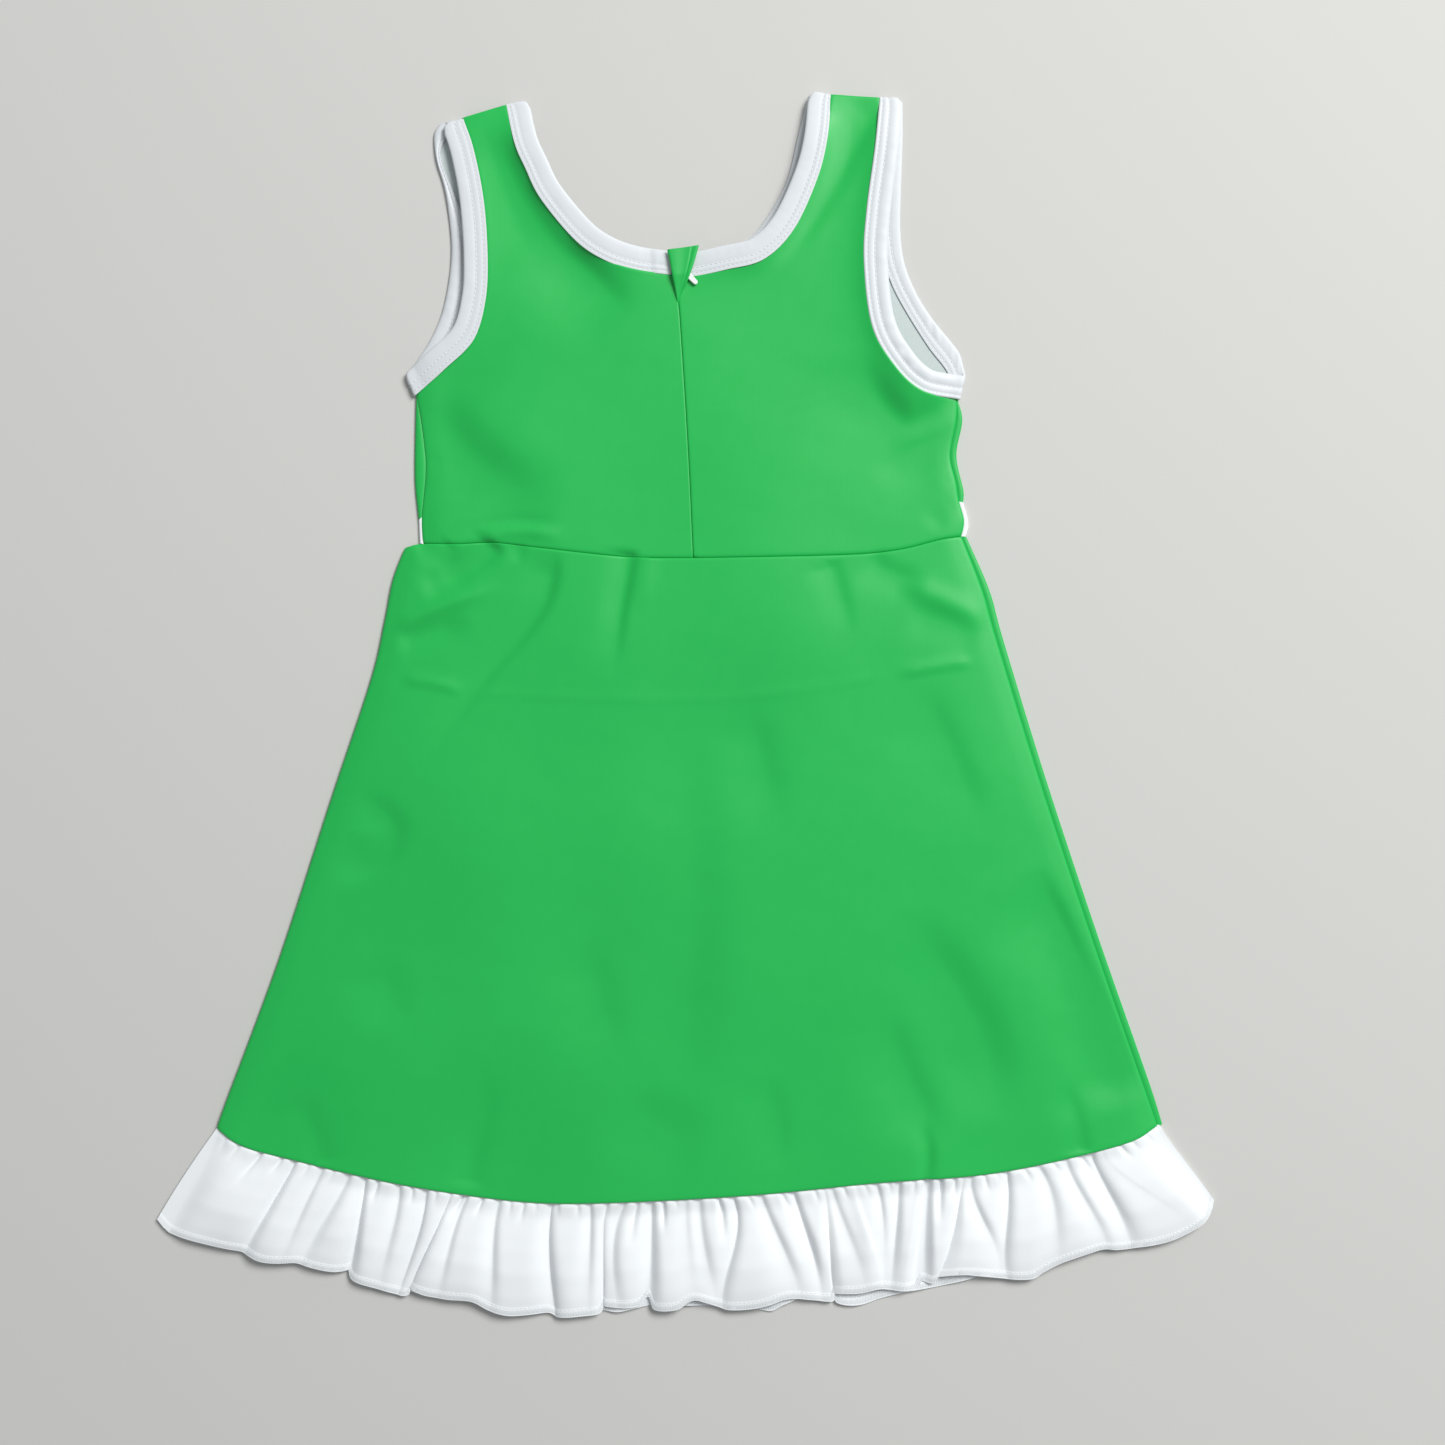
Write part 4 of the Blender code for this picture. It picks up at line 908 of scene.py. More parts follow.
@dataclass
class BackLayer:
    """The two halves of the back bodice and the back of the skirt, which lie on top."""

    step: float = 2.3
    wall: float = WALL
    fold_step: float = 4.0
    edge_step: float = 3.0
    rows: tuple[float, ...] = (0.35, 0.8, 1.4, 2.3)
    seam_allowance: float = 8.0
    swell_depth: float = 0.75
    swell_size: float = 85.0
    ripple_depth: float = 0.05
    ripple_size: float = 26.0
    side_fold: float = 0.25
    hem_rise: float = 0.9
    hem_reach: float = 18.0
    turn_reach: float = 15.0
    zip_reach: float = 26.0
    zip_hold: float = 0.95
    lowest: float = 1.6
    floor_ease: float = 0.5

    # The bound edges, each with how far its stiff binding lifts the cloth and how far in that reaches
    BOUND = ((NECK_LEFT, 3.1, 7.0), (NECK_RIGHT, 2.6, 6.0), (ARMHOLE_LEFT, 1.0, 12.0),
             (ARMHOLE_RIGHT, 2.6, 6.0))

    def __post_init__(self) -> None:
        """Works out the lines that the heights are measured from."""
        self.sides = [spline(line, self.fold_step) for line in
                      (BODICE_LEFT_SEAM, BODICE_RIGHT_SEAM, SKIRT_LEFT, SKIRT_RIGHT_SEAM)]
        self.folds = [(spline(fold.path, self.fold_step), fold) for fold in BACK_FOLDS]
        self.bound = [(spline(line, self.edge_step), lift, reach) for line, lift, reach in self.BOUND]
        self.hem = spline(HEM, self.edge_step)

    def from_side(self, x: np.ndarray, y: np.ndarray) -> np.ndarray:
        """Gives how far places are from the nearest side seam."""
        return np.minimum.reduce([nearest(line, x, y)[0] for line in self.sides])

    def rest(self, x: np.ndarray, y: np.ndarray) -> np.ndarray:
        """Gives the middle of the cloth before its folds: low at the sides and lofted inside them."""
        side = self.from_side(x, y)
        lowest = LAYER_SIDE + (LAYER_BOUND - LAYER_SIDE) * (1 - bell(side, SIDE_REACH))
        height = lowest + LAYER_LOFT * (1 - np.exp(-side / LOFT_REACH))
        return height - SHOULDER_DIP * near_shoulders(x, y) + SOLID_WALL / 2

    def rise(self, x: np.ndarray, y: np.ndarray) -> np.ndarray:
        """Gives how much higher the stiff bindings hold the cloth, except where they turn round an edge.

        The cloth stays low round the top of the zip too, so that the pull can swing over it.
        """
        lifted = np.maximum.reduce([lift * np.exp(-nearest(line, x, y)[0] / reach)
                                    for line, lift, reach in self.bound])
        turns = np.minimum.reduce([nearest(line, x, y)[0] for line in (*SHOULDERS, *self.sides[:2])])
        zip_top = bell(np.hypot(x - SLIDER_CENTRE[0], y - SLIDER_CENTRE[1]), self.zip_reach)
        return lifted * (1 - bell(turns, self.turn_reach)) * (1 - self.zip_hold * zip_top)

    def middle(self, x: np.ndarray, y: np.ndarray) -> np.ndarray:
        """Gives the height of the middle of the cloth, with its folds and its soft unevenness."""
        inner = 1 - bell(self.from_side(x, y), FOLD_CLEAR)
        relief = self.swell_depth * swell(x, y, self.swell_size, seed=4)
        relief = relief + self.ripple_depth * swell(x, y, self.ripple_size, seed=9)
        height = self.rest(x, y) + relief * inner + self.rise(x, y)
        height = height + self.hem_rise * np.exp(-nearest(self.hem, x, y)[0] / self.hem_reach)
        for line, fold in self.folds:
            height = height + fold.lift(line, x, y) * (self.side_fold + (1 - self.side_fold) * inner)
        return self.lowest + self.floor_ease * np.log1p(np.exp((height - self.lowest) / self.floor_ease))

    def panel(self, node: str, edges: Sequence[tuple[np.ndarray, Rim]], finishes: Finishes,
              rests_on: tuple[str, ...]) -> None:
        """Args:
            node: The solid that it stands for.
            edges: Its edge lines in order, each with how it rounds down.
            finishes: The materials.
            rests_on: The nodes under it, which go into its Cut but are not used.
        """
        outline = joined(*[line for line, _ in edges])
        plan, faces = filled(outline, self.step, self.rows)
        x, y = plan[:, 0], plan[:, 1]
        middle = self.middle(x, y)
        for line, rim in edges:
            reach, drop = rim.value
            inward = 1 - np.clip(nearest(line, x, y)[0] / reach, 0, 1)
            middle = middle - drop * (1 - np.sqrt(1 - inward ** 2))
        surface = Surface()
        surface.add_shell(plan, middle, faces, len(outline), self.wall, (0, 1))
        obj = surface.build(f"{node}_cloth", (finishes.green, finishes.inside))
        size, area = cut_size(outline, self.seam_allowance)
        declare(obj, Cut("green_jersey", (node,), size, "laid", rests_on, area))

    def build(self, finishes: Finishes) -> None:
        """Makes the three panels."""
        edge = partial(spline, step=self.step)
        waist = edge(WAIST)
        split = int(np.argmin(np.abs(waist[:, 0] - CENTRE_BACK[-1][0])))
        waist[split] = CENTRE_BACK[-1]
        centre, shoulders = edge(CENTRE_BACK), [edge(line) for line in SHOULDERS]
        left = ((waist[:split + 1], Rim.WAIST_UPPER), (centre[::-1], Rim.CENTRE_LEFT),
                (edge(NECK_LEFT)[::-1], Rim.BOUND), (shoulders[0], Rim.SHOULDER),
                (edge(ARMHOLE_LEFT), Rim.BOUND), (edge(BODICE_LEFT_SEAM), Rim.SIDE))
        right = ((waist[split:], Rim.WAIST_UPPER), (edge(BODICE_RIGHT_SEAM)[::-1], Rim.SIDE),
                 (edge(ARMHOLE_RIGHT)[::-1], Rim.BOUND), (shoulders[1][::-1], Rim.SHOULDER),
                 (edge(NECK_RIGHT), Rim.BOUND), (centre, Rim.CENTRE_RIGHT))
        skirt = ((edge(SKIRT_LEFT), Rim.SIDE), (edge(HEM), Rim.HEM), (edge(SKIRT_RIGHT_SEAM)[::-1], Rim.SIDE),
                 (waist[::-1], Rim.WAIST_LOWER), (edge(WAIST_BULGE)[::-1], Rim.SIDE))
        under = ("front_bodice", "front_waistband")
        self.panel("back_bodice_left", left, finishes, under)
        self.panel("back_bodice_right", right, finishes, under)
        self.panel("back_skirt", skirt, finishes, ("front_skirt",))


@dataclass
class FrontLayer:
    """The front bodice, the white band at the waist and the front of the skirt, flat on the ground.

    Where the cloth turns round from the front to the back's side seam, a rounded strip of it shows.
    """

    step: float = 6.0
    edge_step: float = 3.0
    strip_step: float = 2.0
    edge_row: float = 0.9
    wall: float = WALL
    lift: float = 0.45
    strip_height: float = 0.95
    strip_tuck: float = 0.7
    strip_sides: int = 14
    strip_square: float = 0.8
    seam_allowance: float = 8.0
    band_allowance: float = 1.5

    def middle(self, x: np.ndarray, y: np.ndarray) -> np.ndarray:
        """Gives the height of the middle of the cloth, which lies flat but for a few soft folds."""
        height = np.full(np.shape(x), self.wall / 2)
        for fold in FRONT_FOLDS:
            height = height + fold.lift(spline(fold.path, self.step), x, y)
        return height + self.lift * near_shoulders(x, y)

    def strip(self, surface: Surface, seam: np.ndarray, side: np.ndarray) -> None:
        """Adds the rounded strip between a side seam and the outer edge."""
        count = max(len(seam), len(side))
        inner, outer = resampled(seam, count), resampled(side, count)
        across = outer - inner
        wide = np.linalg.norm(across, axis=1)[:, None]
        inner = inner - across / np.maximum(wide, 0.3) * self.strip_tuck
        angle = 2 * math.pi * np.arange(self.strip_sides) / self.strip_sides
        share = 0.5 - 0.5 * np.cos(angle)
        height = self.strip_height * (1 + np.sign(np.sin(angle)) * np.abs(np.sin(angle)) ** self.strip_square)
        plan = inner[:, None] * (1 - share)[None, :, None] + outer[:, None] * share[None, :, None]
        grid = np.dstack([plan, np.broadcast_to(height, plan.shape[:2])])
        surface.add_tube(grid, False)

    def panel(self, node: str, edges: Sequence[np.ndarray], strips: Sequence[tuple[Line, Line]],
              finishes: Finishes, slot: str, allowance: float) -> None:
        """Args:
            node: The solid that it stands for.
            edges: Its edge lines in order.
            strips: A seam line and an outer line for each strip that shows beside the back.
            finishes: The materials.
            slot: The material slot, which also says what its right side is made of.
            allowance: How far its cut reaches past its seams.
        """
        outline = joined(*edges)
        plan, faces = filled(outline, self.step, (self.edge_row,))
        surface = Surface()
        surface.add_shell(plan, self.middle(plan[:, 0], plan[:, 1]), faces, len(outline), self.wall, (1, 0))
        for seam, side in strips:
            self.strip(surface, spline(seam, self.strip_step), spline(side, self.strip_step))
        outside = finishes.white if slot == "white_jersey" else finishes.green
        obj = surface.build(f"{node}_cloth", (outside, finishes.inside))
        size, area = cut_size(outline, allowance)
        declare(obj, Cut(slot, (node,), size, "laid", (), area))

    def build(self, finishes: Finishes) -> None:
        """Makes the three panels."""
        edge = partial(spline, step=self.edge_step)
        bodice = (edge(BAND_TOP), edge(BODICE_RIGHT[:5][::-1]), edge(ARMHOLE_RIGHT_FRONT)[::-1],
                  edge(SHOULDERS[1])[::-1], edge(NECK_FRONT)[::-1], edge(SHOULDERS[0]),
                  edge(ARMHOLE_LEFT_FRONT), edge(BODICE_LEFT[:4]))
        strips = ((BODICE_LEFT_SEAM[:4], BODICE_LEFT[:4]), (BODICE_RIGHT_SEAM[:5], BODICE_RIGHT[:5]))
        self.panel("front_bodice", bodice, strips, finishes, "green_jersey", self.seam_allowance)
        band = (edge(BAND_FOOT), edge(BODICE_RIGHT[4:][::-1]), edge(BAND_TOP)[::-1], edge(BODICE_LEFT[3:]))
        strips = ((BODICE_LEFT_SEAM[3:], BODICE_LEFT[3:]), (BODICE_RIGHT_SEAM[4:], BODICE_RIGHT[4:]))
        self.panel("front_waistband", band, strips, finishes, "white_jersey", self.band_allowance)
        left, right = BAND_FOOT[:1] + SKIRT_LEFT[1:], BAND_FOOT[-1:] + SKIRT_RIGHT[1:-1] + HEM[-1:]
        skirt = (edge(left), edge(HEM), edge(right)[::-1], edge(BAND_FOOT)[::-1])
        strips = ((SKIRT_RIGHT_SEAM, SKIRT_RIGHT),)
        self.panel("front_skirt", skirt, strips, finishes, "green_jersey", self.seam_allowance)


@dataclass(frozen=True)
class Stitch:
    """A kind of stitch: its pitch, its thread's length, width and height, and its slant in degrees."""

    pitch: float
    length: float
    width: float
    height: float
    slant: float = 0.0


class StitchKind(Enum):
    """The stitches on the dress."""

    COVER = Stitch(2.4, 1.6, 0.5, 0.30)
    HEM_LINE = Stitch(2.2, 1.8, 0.42, 0.28)
    OVERLOCK = Stitch(0.85, 2.9, 0.6, 0.20, 72.0)


@dataclass
class StitchRow:
    """A row of stitches: its path, the way off the cloth at each point, and its kind."""

    path: np.ndarray
    ups: np.ndarray
    kind: StitchKind


class Sewing:
    """Sews rows of stitches with Geometry Nodes."""

    INPUTS = (("Pitch", 0.0026), ("Length", 0.002), ("Width", 0.0005), ("Height", 0.0003), ("Slant", 0.0))

    def __init__(self, finish: bpy.types.Material) -> None:
        """Makes the node tree once, for every row."""
        self.finish = finish
        self.tree = self._tree()

    def _tree(self) -> bpy.types.NodeTree:
        """Builds the tree: a thread stands at every pitch of a path, turned along it and up off the cloth."""
        tree = bpy.data.node_groups.new("stitch row", "GeometryNodeTree")
        tree.interface.new_socket("Geometry", in_out="INPUT", socket_type="NodeSocketGeometry")
        for name, value in self.INPUTS:
            socket = tree.interface.new_socket(name, in_out="INPUT", socket_type="NodeSocketFloat")
            socket.default_value = value
        tree.interface.new_socket("Finish", in_out="INPUT", socket_type="NodeSocketMaterial")
        tree.interface.new_socket("Geometry", in_out="OUTPUT", socket_type="NodeSocketGeometry")
        graph = Graph(tree)
        given = graph.add("NodeGroupInput")
        line = graph.add("GeometryNodeMeshToCurve", inputs={"Mesh": given.out("Geometry")}).out()
        points = graph.add("GeometryNodeResampleCurve", {"mode": "LENGTH"},
                           {"Curve": line, "Length": given.out("Pitch")}).out()
        up = graph.add("GeometryNodeInputNamedAttribute", {"data_type": "FLOAT_VECTOR"}, {"Name": "up"}).out()
        tangent = graph.add("GeometryNodeInputTangent").out()
        stand = graph.add("FunctionNodeAlignRotationToVector", {"axis": "Z"}, {"Vector": up}).out()
        along = graph.add("FunctionNodeAlignRotationToVector", {"axis": "X", "pivot_axis": "Z"},
                          {"Rotation": stand, "Vector": tangent}).out()
        slant = graph.add("FunctionNodeAxisAngleToRotation",
                          inputs={"Axis": (0, 0, 1), "Angle": given.out("Slant")}).out()
        turned = graph.add("FunctionNodeRotateRotation", {"rotation_space": "LOCAL"},
                           {"Rotation": along, "Rotate By": slant}).out()
        thread = graph.add("GeometryNodeMeshUVSphere",
                           inputs={"Segments": 6, "Rings": 4, "Radius": 0.5}).out()
        sizes = {axis: given.out(name) for axis, name in (("X", "Length"), ("Y", "Width"), ("Z", "Height"))}
        size = graph.add("ShaderNodeCombineXYZ", inputs=sizes).out()
        placed = graph.add("GeometryNodeInstanceOnPoints", inputs={
            "Points": points, "Instance": thread, "Rotation": turned, "Scale": size}).out()
        solid = graph.add("GeometryNodeRealizeInstances", inputs={"Geometry": placed}).out()
        dressed = graph.add("GeometryNodeSetMaterial",
                            inputs={"Geometry": solid, "Material": given.out("Finish")}).out()
        graph.add("NodeGroupOutput", inputs={0: dressed})
        return tree

    def _row(self, row: StitchRow) -> bpy.types.Mesh:
        """Gives the plain mesh of one row."""
        mesh = bpy.data.meshes.new("row")
        placed = (row.path - np.array((*MIDDLE, 0.0))) * MM
        mesh.from_pydata(placed.tolist(), [(i, i + 1) for i in range(len(placed) - 1)], [])
        up = mesh.attributes.new("up", "FLOAT_VECTOR", "POINT")
        up.data.foreach_set("vector", np.asarray(row.ups, np.float32).ravel())
        carrier = bpy.data.objects.new("row", mesh)
        bpy.context.scene.collection.objects.link(carrier)
        modifier = carrier.modifiers.new("stitches", "NODES")
        modifier.node_group = self.tree
        stitch = row.kind.value
        sizes = {"Pitch": stitch.pitch * MM, "Length": stitch.length * MM, "Width": stitch.width * MM,
                 "Height": stitch.height * MM, "Slant": math.radians(stitch.slant), "Finish": self.finish}
        for item in self.tree.interface.items_tree:
            if item.item_type == "SOCKET" and item.in_out == "INPUT" and item.name in sizes:
                modifier[item.identifier] = sizes[item.name]
        bpy.context.view_layer.update()
        evaluated = carrier.evaluated_get(bpy.context.evaluated_depsgraph_get())
        made = bpy.data.meshes.new_from_object(evaluated)
        bpy.data.objects.remove(carrier)
        return made

    def sew(self, name: str, rows: Sequence[StitchRow]) -> None:
        """Makes one piece of all the given rows, which rides on the dress."""
        points, faces, first = [], [], 0
        for row in rows:
            made = self._row(row)
            co = np.zeros(len(made.vertices) * 3)
            made.vertices.foreach_get("co", co)
            points.append(co.reshape(-1, 3))
            faces.extend(tuple(i + first for i in face.vertices) for face in made.polygons)
            first += len(made.vertices)
            bpy.data.meshes.remove(made)
        mesh = bpy.data.meshes.new(name)
        mesh.from_pydata(np.vstack(points).tolist(), [], faces)
        mesh.materials.append(self.finish)
        mesh.shade_smooth()
        obj = bpy.data.objects.new(name, mesh)
        bpy.context.scene.collection.objects.link(obj)
        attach(obj, "dress")
        report(obj)


@dataclass
class Band:
    """A binding's rails, and the way off its full face, which is called up."""

    near: np.ndarray
    far: np.ndarray
    closed: bool

    def __post_init__(self) -> None:
        """Works out the way off the full face, which turns over with the binding at a fold."""
        middle = (self.near + self.far) / 2
        if self.closed:
            along = np.roll(middle, -1, axis=0) - np.roll(middle, 1, axis=0)
        else:
            along = np.gradient(middle, axis=0)
        self.across = self.far - self.near
        self.up = np.cross(along, self.across)
        self.up /= np.linalg.norm(self.up, axis=1)[:, None]
        self.run = run_along(middle)

    def line(self, share: float, height: Union[float, np.ndarray]) -> np.ndarray:
        """Gives the line at a share of the width and a height off the middle."""
        height = np.broadcast_to(height, len(self.near))
        return self.near + self.across * share + self.up * height[:, None]


@dataclass
class Bindings:
    """The white bindings round the neckline and the armholes, folded over the edge and cover stitched."""

    back: BackLayer
    step: float = 1.3
    overlap: float = 0.5
    clearance: float = 0.3
    tuck_reach: float = 9.5
    outer_row: float = 0.62
    inner_row: float = -0.56
    lap_run: float = 8.6
    lap_lean: float = 2.4
    lap_width: float = 1.3
    lap_step: float = 0.5
    free_from: float = 0.5
    free_run: float = 0.25
    corner: float = 1.3
    corner_narrow: float = 0.7
    corner_reach: float = 2.6
    pucker_depth: float = 0.42
    pucker_size: float = 7.0
    pucker_reach: float = 20.0
    cut_width: float = 31.0
    wall: float = 0.4

    # Where the right armhole's binding puckers, and the padding's unevenness as pairs of depth and length
    PUCKERS = (134.0, 190.0)
    LOOSE = ((0.10, 16.0), (0.06, 6.0))

    # Shares of the width at which the two rows are sewn: in the section below, at the neck, at the armholes
    SECTION_ROWS = (0.21, 0.51)
    NECK_ROWS = (0.14, 0.34)
    ARM_ROWS = (0.15, 0.47)

    # Share of the width and height off the middle: over the full face, which lies the way that the band's
    # up points, and back along the flatter one. On the back layer up points up at the right armhole, and
    # down at the neck and the left armhole, so that the flatter face is the one to be seen there.
    OUTER = ((0.0, 0.20), (0.0, 0.40), (0.02, 0.62), (0.06, 0.80), (0.12, 0.84), (0.17, 0.72), (0.21, 0.50),
             (0.25, 0.72), (0.33, 0.90), (0.42, 0.86), (0.47, 0.68), (0.51, 0.52), (0.56, 0.76), (0.64, 1.02),
             (0.74, 1.12), (0.84, 1.04), (0.92, 0.80), (0.975, 0.44), (1.0, 0.04))
    INNER = ((0.985, -0.36), (0.93, -0.62), (0.82, -0.76), (0.66, -0.76), (0.56, -0.62), (0.51, -0.46),
             (0.45, -0.62), (0.33, -0.72), (0.25, -0.6), (0.21, -0.46), (0.15, -0.62), (0.04, -0.56),
             (0.0, -0.50), (0.0, -0.20))

    def level(self, layer: Layer, x: np.ndarray, y: np.ndarray) -> np.ndarray:
        """Gives the height of a binding's middle on a layer."""
        if layer is Layer.FRONT:
            return np.full(np.shape(x), BINDING_THICK / 2)
        return np.maximum(self.back.rest(x, y), 1.5 * BINDING_THICK + self.clearance) + self.back.rise(x, y)

    def rails(self, line: Line, side: int, widths: Sequence[float], layer: Layer,
              underarm: Optional[tuple[float, float]] = None, shoulders: tuple[int, ...] = (0, -1),
              free: Optional[Line] = None) -> tuple[np.ndarray, np.ndarray]:
        """Gives the cloth edge and the free edge of one stretch of binding.

        Args:
            line: The cloth's edge.
            side: Which side of it the binding lies on, +1 for the left of its run.
            widths: The binding's width at even places along it.
            layer: The layer that it binds.
            underarm: Where its free edge meets the side seam that it turns round, at the end of its run.
            shoulders: The ends, 0 or -1, that stop short of a shoulder to leave room for the turn.
            free: The free edge, where it doesn't follow from the widths.

        Returns:
            The two rails.
        """
        seam = spline(line, self.step)
        out = side * side_vectors(seam)
        corner = seam[-1]
        width = np.interp(np.linspace(0, 1, len(seam)), np.linspace(0, 1, len(widths)), widths)
        for end in shoulders:
            inward = seam[3 if end == 0 else -4] - seam[end]
            inward /= np.linalg.norm(inward)
            away = np.linalg.norm(seam - seam[end], axis=1)
            width = width - self.corner_narrow * self.corner * bell(away, self.corner_reach)
            seam = seam + SHOULDER_TUCK * inward * np.clip(1 - away / self.tuck_reach, 0, 1)[:, None]
        if underarm is not None:
            square = bell(np.linalg.norm(seam - corner, axis=1), UNDERARM_REACH)[:, None]
            swing = np.array(underarm) - corner
            out = out * (1 - square) + swing / np.linalg.norm(swing) * square
            out /= np.linalg.norm(out, axis=1)[:, None]
        edge = seam + out * width[:, None]
        if free is not None:
            edge = resampled(spline(free, self.step), len(seam) - 1)
        level = self.level(layer, seam[:, 0], seam[:, 1])[:, None]
        return np.hstack([seam - out * self.overlap, level]), np.hstack([edge, level])

    def turn(self, back_end: np.ndarray, front_start: np.ndarray, ahead: np.ndarray, aside: np.ndarray,
             steps: int = 9) -> np.ndarray:
        """Gives the points of the tight turn that takes an edge from one layer to the other.

        Args:
            back_end: Where the edge leaves the one layer.
            front_start: Where it goes on in the other.
            ahead: The way in which it runs on over the turn.
            aside: How far it is drawn aside at the middle of the turn.
            steps: The number of points.

        Returns:
            The points.
        """
        middle, radius = (back_end[2] + front_start[2]) / 2, (back_end[2] - front_start[2]) / 2
        angle = math.pi * np.arange(1, steps + 1) / (steps + 1)
        share = (angle / math.pi)[:, None]
        reach = (ahead * abs(radius) + aside) * np.sin(angle)[:, None]
        plan = back_end[:2] * (1 - share) + front_start[:2] * share + reach
        return np.column_stack([plan, middle + radius * np.cos(angle)])

    def chained(self, stretches: Sequence[tuple[np.ndarray, np.ndarray]], closed: bool) -> Band:
        """Joins stretches of binding with a turn over the edge between each pair."""
        near, far = [], []
        for index, (a, b) in enumerate(stretches):
            near.append(a)
            far.append(b)
            if index == len(stretches) - 1 and not closed:
                break
            c, d = stretches[(index + 1) % len(stretches)]
            ahead = (a[-1] - a[-4])[:2]
            ahead = ahead / np.linalg.norm(ahead)
            across = (b[-1] - a[-1])[:2]
            near.append(self.turn(a[-1], c[0], ahead, 0 * across))
            far.append(self.turn(b[-1], d[0], ahead, -self.corner * across / np.linalg.norm(across)))
        return Band(np.vstack(near), np.vstack(far), closed)

    def puffed(self, band: Band, sewn: tuple[float, float], seed: int,
               puckers: Optional[tuple[float, float]] = None) -> np.ndarray:
        """Gives the band's rings of points, with its padded free edge a little uneven along its run.

        Args:
            band: The band.
            sewn: The shares of its width at which its rows are sewn.
            seed: What makes its unevenness its own.
            puckers: A place round which the binding is puckered, if any.

        Returns:
            One ring of points for each point of the rails.
        """
        zero = np.zeros(len(band.run))
        loose = sum(depth * swell(band.run, zero, size, seed + index)
                    for index, (depth, size) in enumerate(self.LOOSE))
        if puckers is not None:
            away = np.linalg.norm(band.far[:, :2] - np.array(puckers), axis=1)
            pucker = swell(band.run, zero, self.pucker_size, seed + len(self.LOOSE))
            loose = loose + self.pucker_depth * bell(away, self.pucker_reach) * pucker
        lining = [(share, height + math.copysign(self.wall, -height))
                  for share, height in (*self.INNER[::-1], *self.OUTER[::-1]) if 0.01 < share < 0.95]
        rings = []
        for share, height in (*self.OUTER, *self.INNER, *lining):
            free = eased(np.array((share - self.free_from) / self.free_run))
            lifted = zero
            if not band.closed and height < 0:
                past = (band.run - self.lap_run - self.lap_lean * share) / self.lap_width
                lifted = -self.lap_step * (1 - eased(past + 0.5))
            placed = float(np.interp(share, (0, *self.SECTION_ROWS, 1), (0, *sewn, 1)))
            rings.append(band.line(placed, height * (1 + loose * free) + lifted))
        return np.stack(rings, axis=1)

    def piece(self, node: str, band: Band, sewn: tuple[float, float], seed: int, finishes: Finishes,
              sewing: Sewing, puckers: Optional[tuple[float, float]] = None) -> None:
        """Makes one binding and sews its stitches.

        Args:
            node: The solid that it stands for.
            band: Its rails.
            sewn: The shares of its width at which its rows are sewn.
            seed: What makes its unevenness its own.
            finishes: The materials.
            sewing: What sews its stitches.
            puckers: A place round which it is puckered, if any.
        """
        surface = Surface()
        surface.add_tube(self.puffed(band, sewn, seed, puckers), band.closed)
        obj = surface.build(f"{node}_cloth", (finishes.binding,))
        size = (self.cut_width, band.run[-1])
        declare(obj, Cut("white_binding", (node,), size, "folded", ("front_bodice",)))
        rows = []
        for share in sewn:
            rows.append(StitchRow(band.line(share, self.outer_row), band.up, StitchKind.COVER))
            rows.append(StitchRow(band.line(share, self.inner_row), -band.up, StitchKind.COVER))
        sewing.sew(f"{node}_stitches", rows)

    def neck(self) -> Band:
        """Gives the neck binding's rails, from one side of the zip over both shoulders to the other."""
        back = (BACK_BINDING, BACK_BINDING, SHOULDER_BINDING)
        front = (SHOULDER_BINDING, BACK_BINDING, SHOULDER_BINDING)
        left_run = ((NECK_LEFT[-1][0] - ZIP_SPACE_LEFT, NECK_LEFT[-1][1] + 0.2),) + NECK_LEFT[-2::-1]
        right_run = NECK_RIGHT[:-1] + ((NECK_RIGHT[-1][0] + ZIP_SPACE_RIGHT, NECK_RIGHT[-1][1]),)
        return self.chained((self.rails(left_run, -1, back, Layer.BACK, shoulders=(-1,)),
                             self.rails(NECK_FRONT, 1, front, Layer.FRONT),
                             self.rails(right_run, -1, back[::-1], Layer.BACK, shoulders=(0,))), False)

    def armhole(self, back: Line, front: Line, free: Line, side: int, underarm: tuple[float, float]) -> Band:
        """Gives the rails of the closed ring of binding round one armhole.

        Args:
            back: The back's armhole edge, from the shoulder down.
            front: The front's armhole edge, from the shoulder down.
            free: The free edge of the binding on the front.
            side: Which side of the back's edge the binding lies on.
            underarm: Where the back's free edge meets the side seam.

        Returns:
            The band.
        """
        widths = (SHOULDER_BINDING, BACK_BINDING, BACK_BINDING, UNDERARM_BINDING)
        under = self.rails(front[::-1], -side, widths, Layer.FRONT, None, (-1,), free[::-1])
        return self.chained((self.rails(back, side, widths, Layer.BACK, underarm, (0,)), under), True)

    def build(self, finishes: Finishes, sewing: Sewing) -> None:
        """Makes the three bindings."""
        self.piece("neck_binding", self.neck(), self.NECK_ROWS, 21, finishes, sewing)
        left = self.armhole(ARMHOLE_LEFT, ARMHOLE_LEFT_FRONT, ARMHOLE_LEFT_FREE, -1, UNDERARMS[0])
        self.piece("armhole_binding_left", left, self.ARM_ROWS, 31, finishes, sewing)
        right = self.armhole(ARMHOLE_RIGHT, ARMHOLE_RIGHT_FRONT, ARMHOLE_RIGHT_FREE, 1, UNDERARMS[1])
        self.piece("armhole_binding_right", right, self.ARM_ROWS, 41, finishes, sewing, self.PUCKERS)


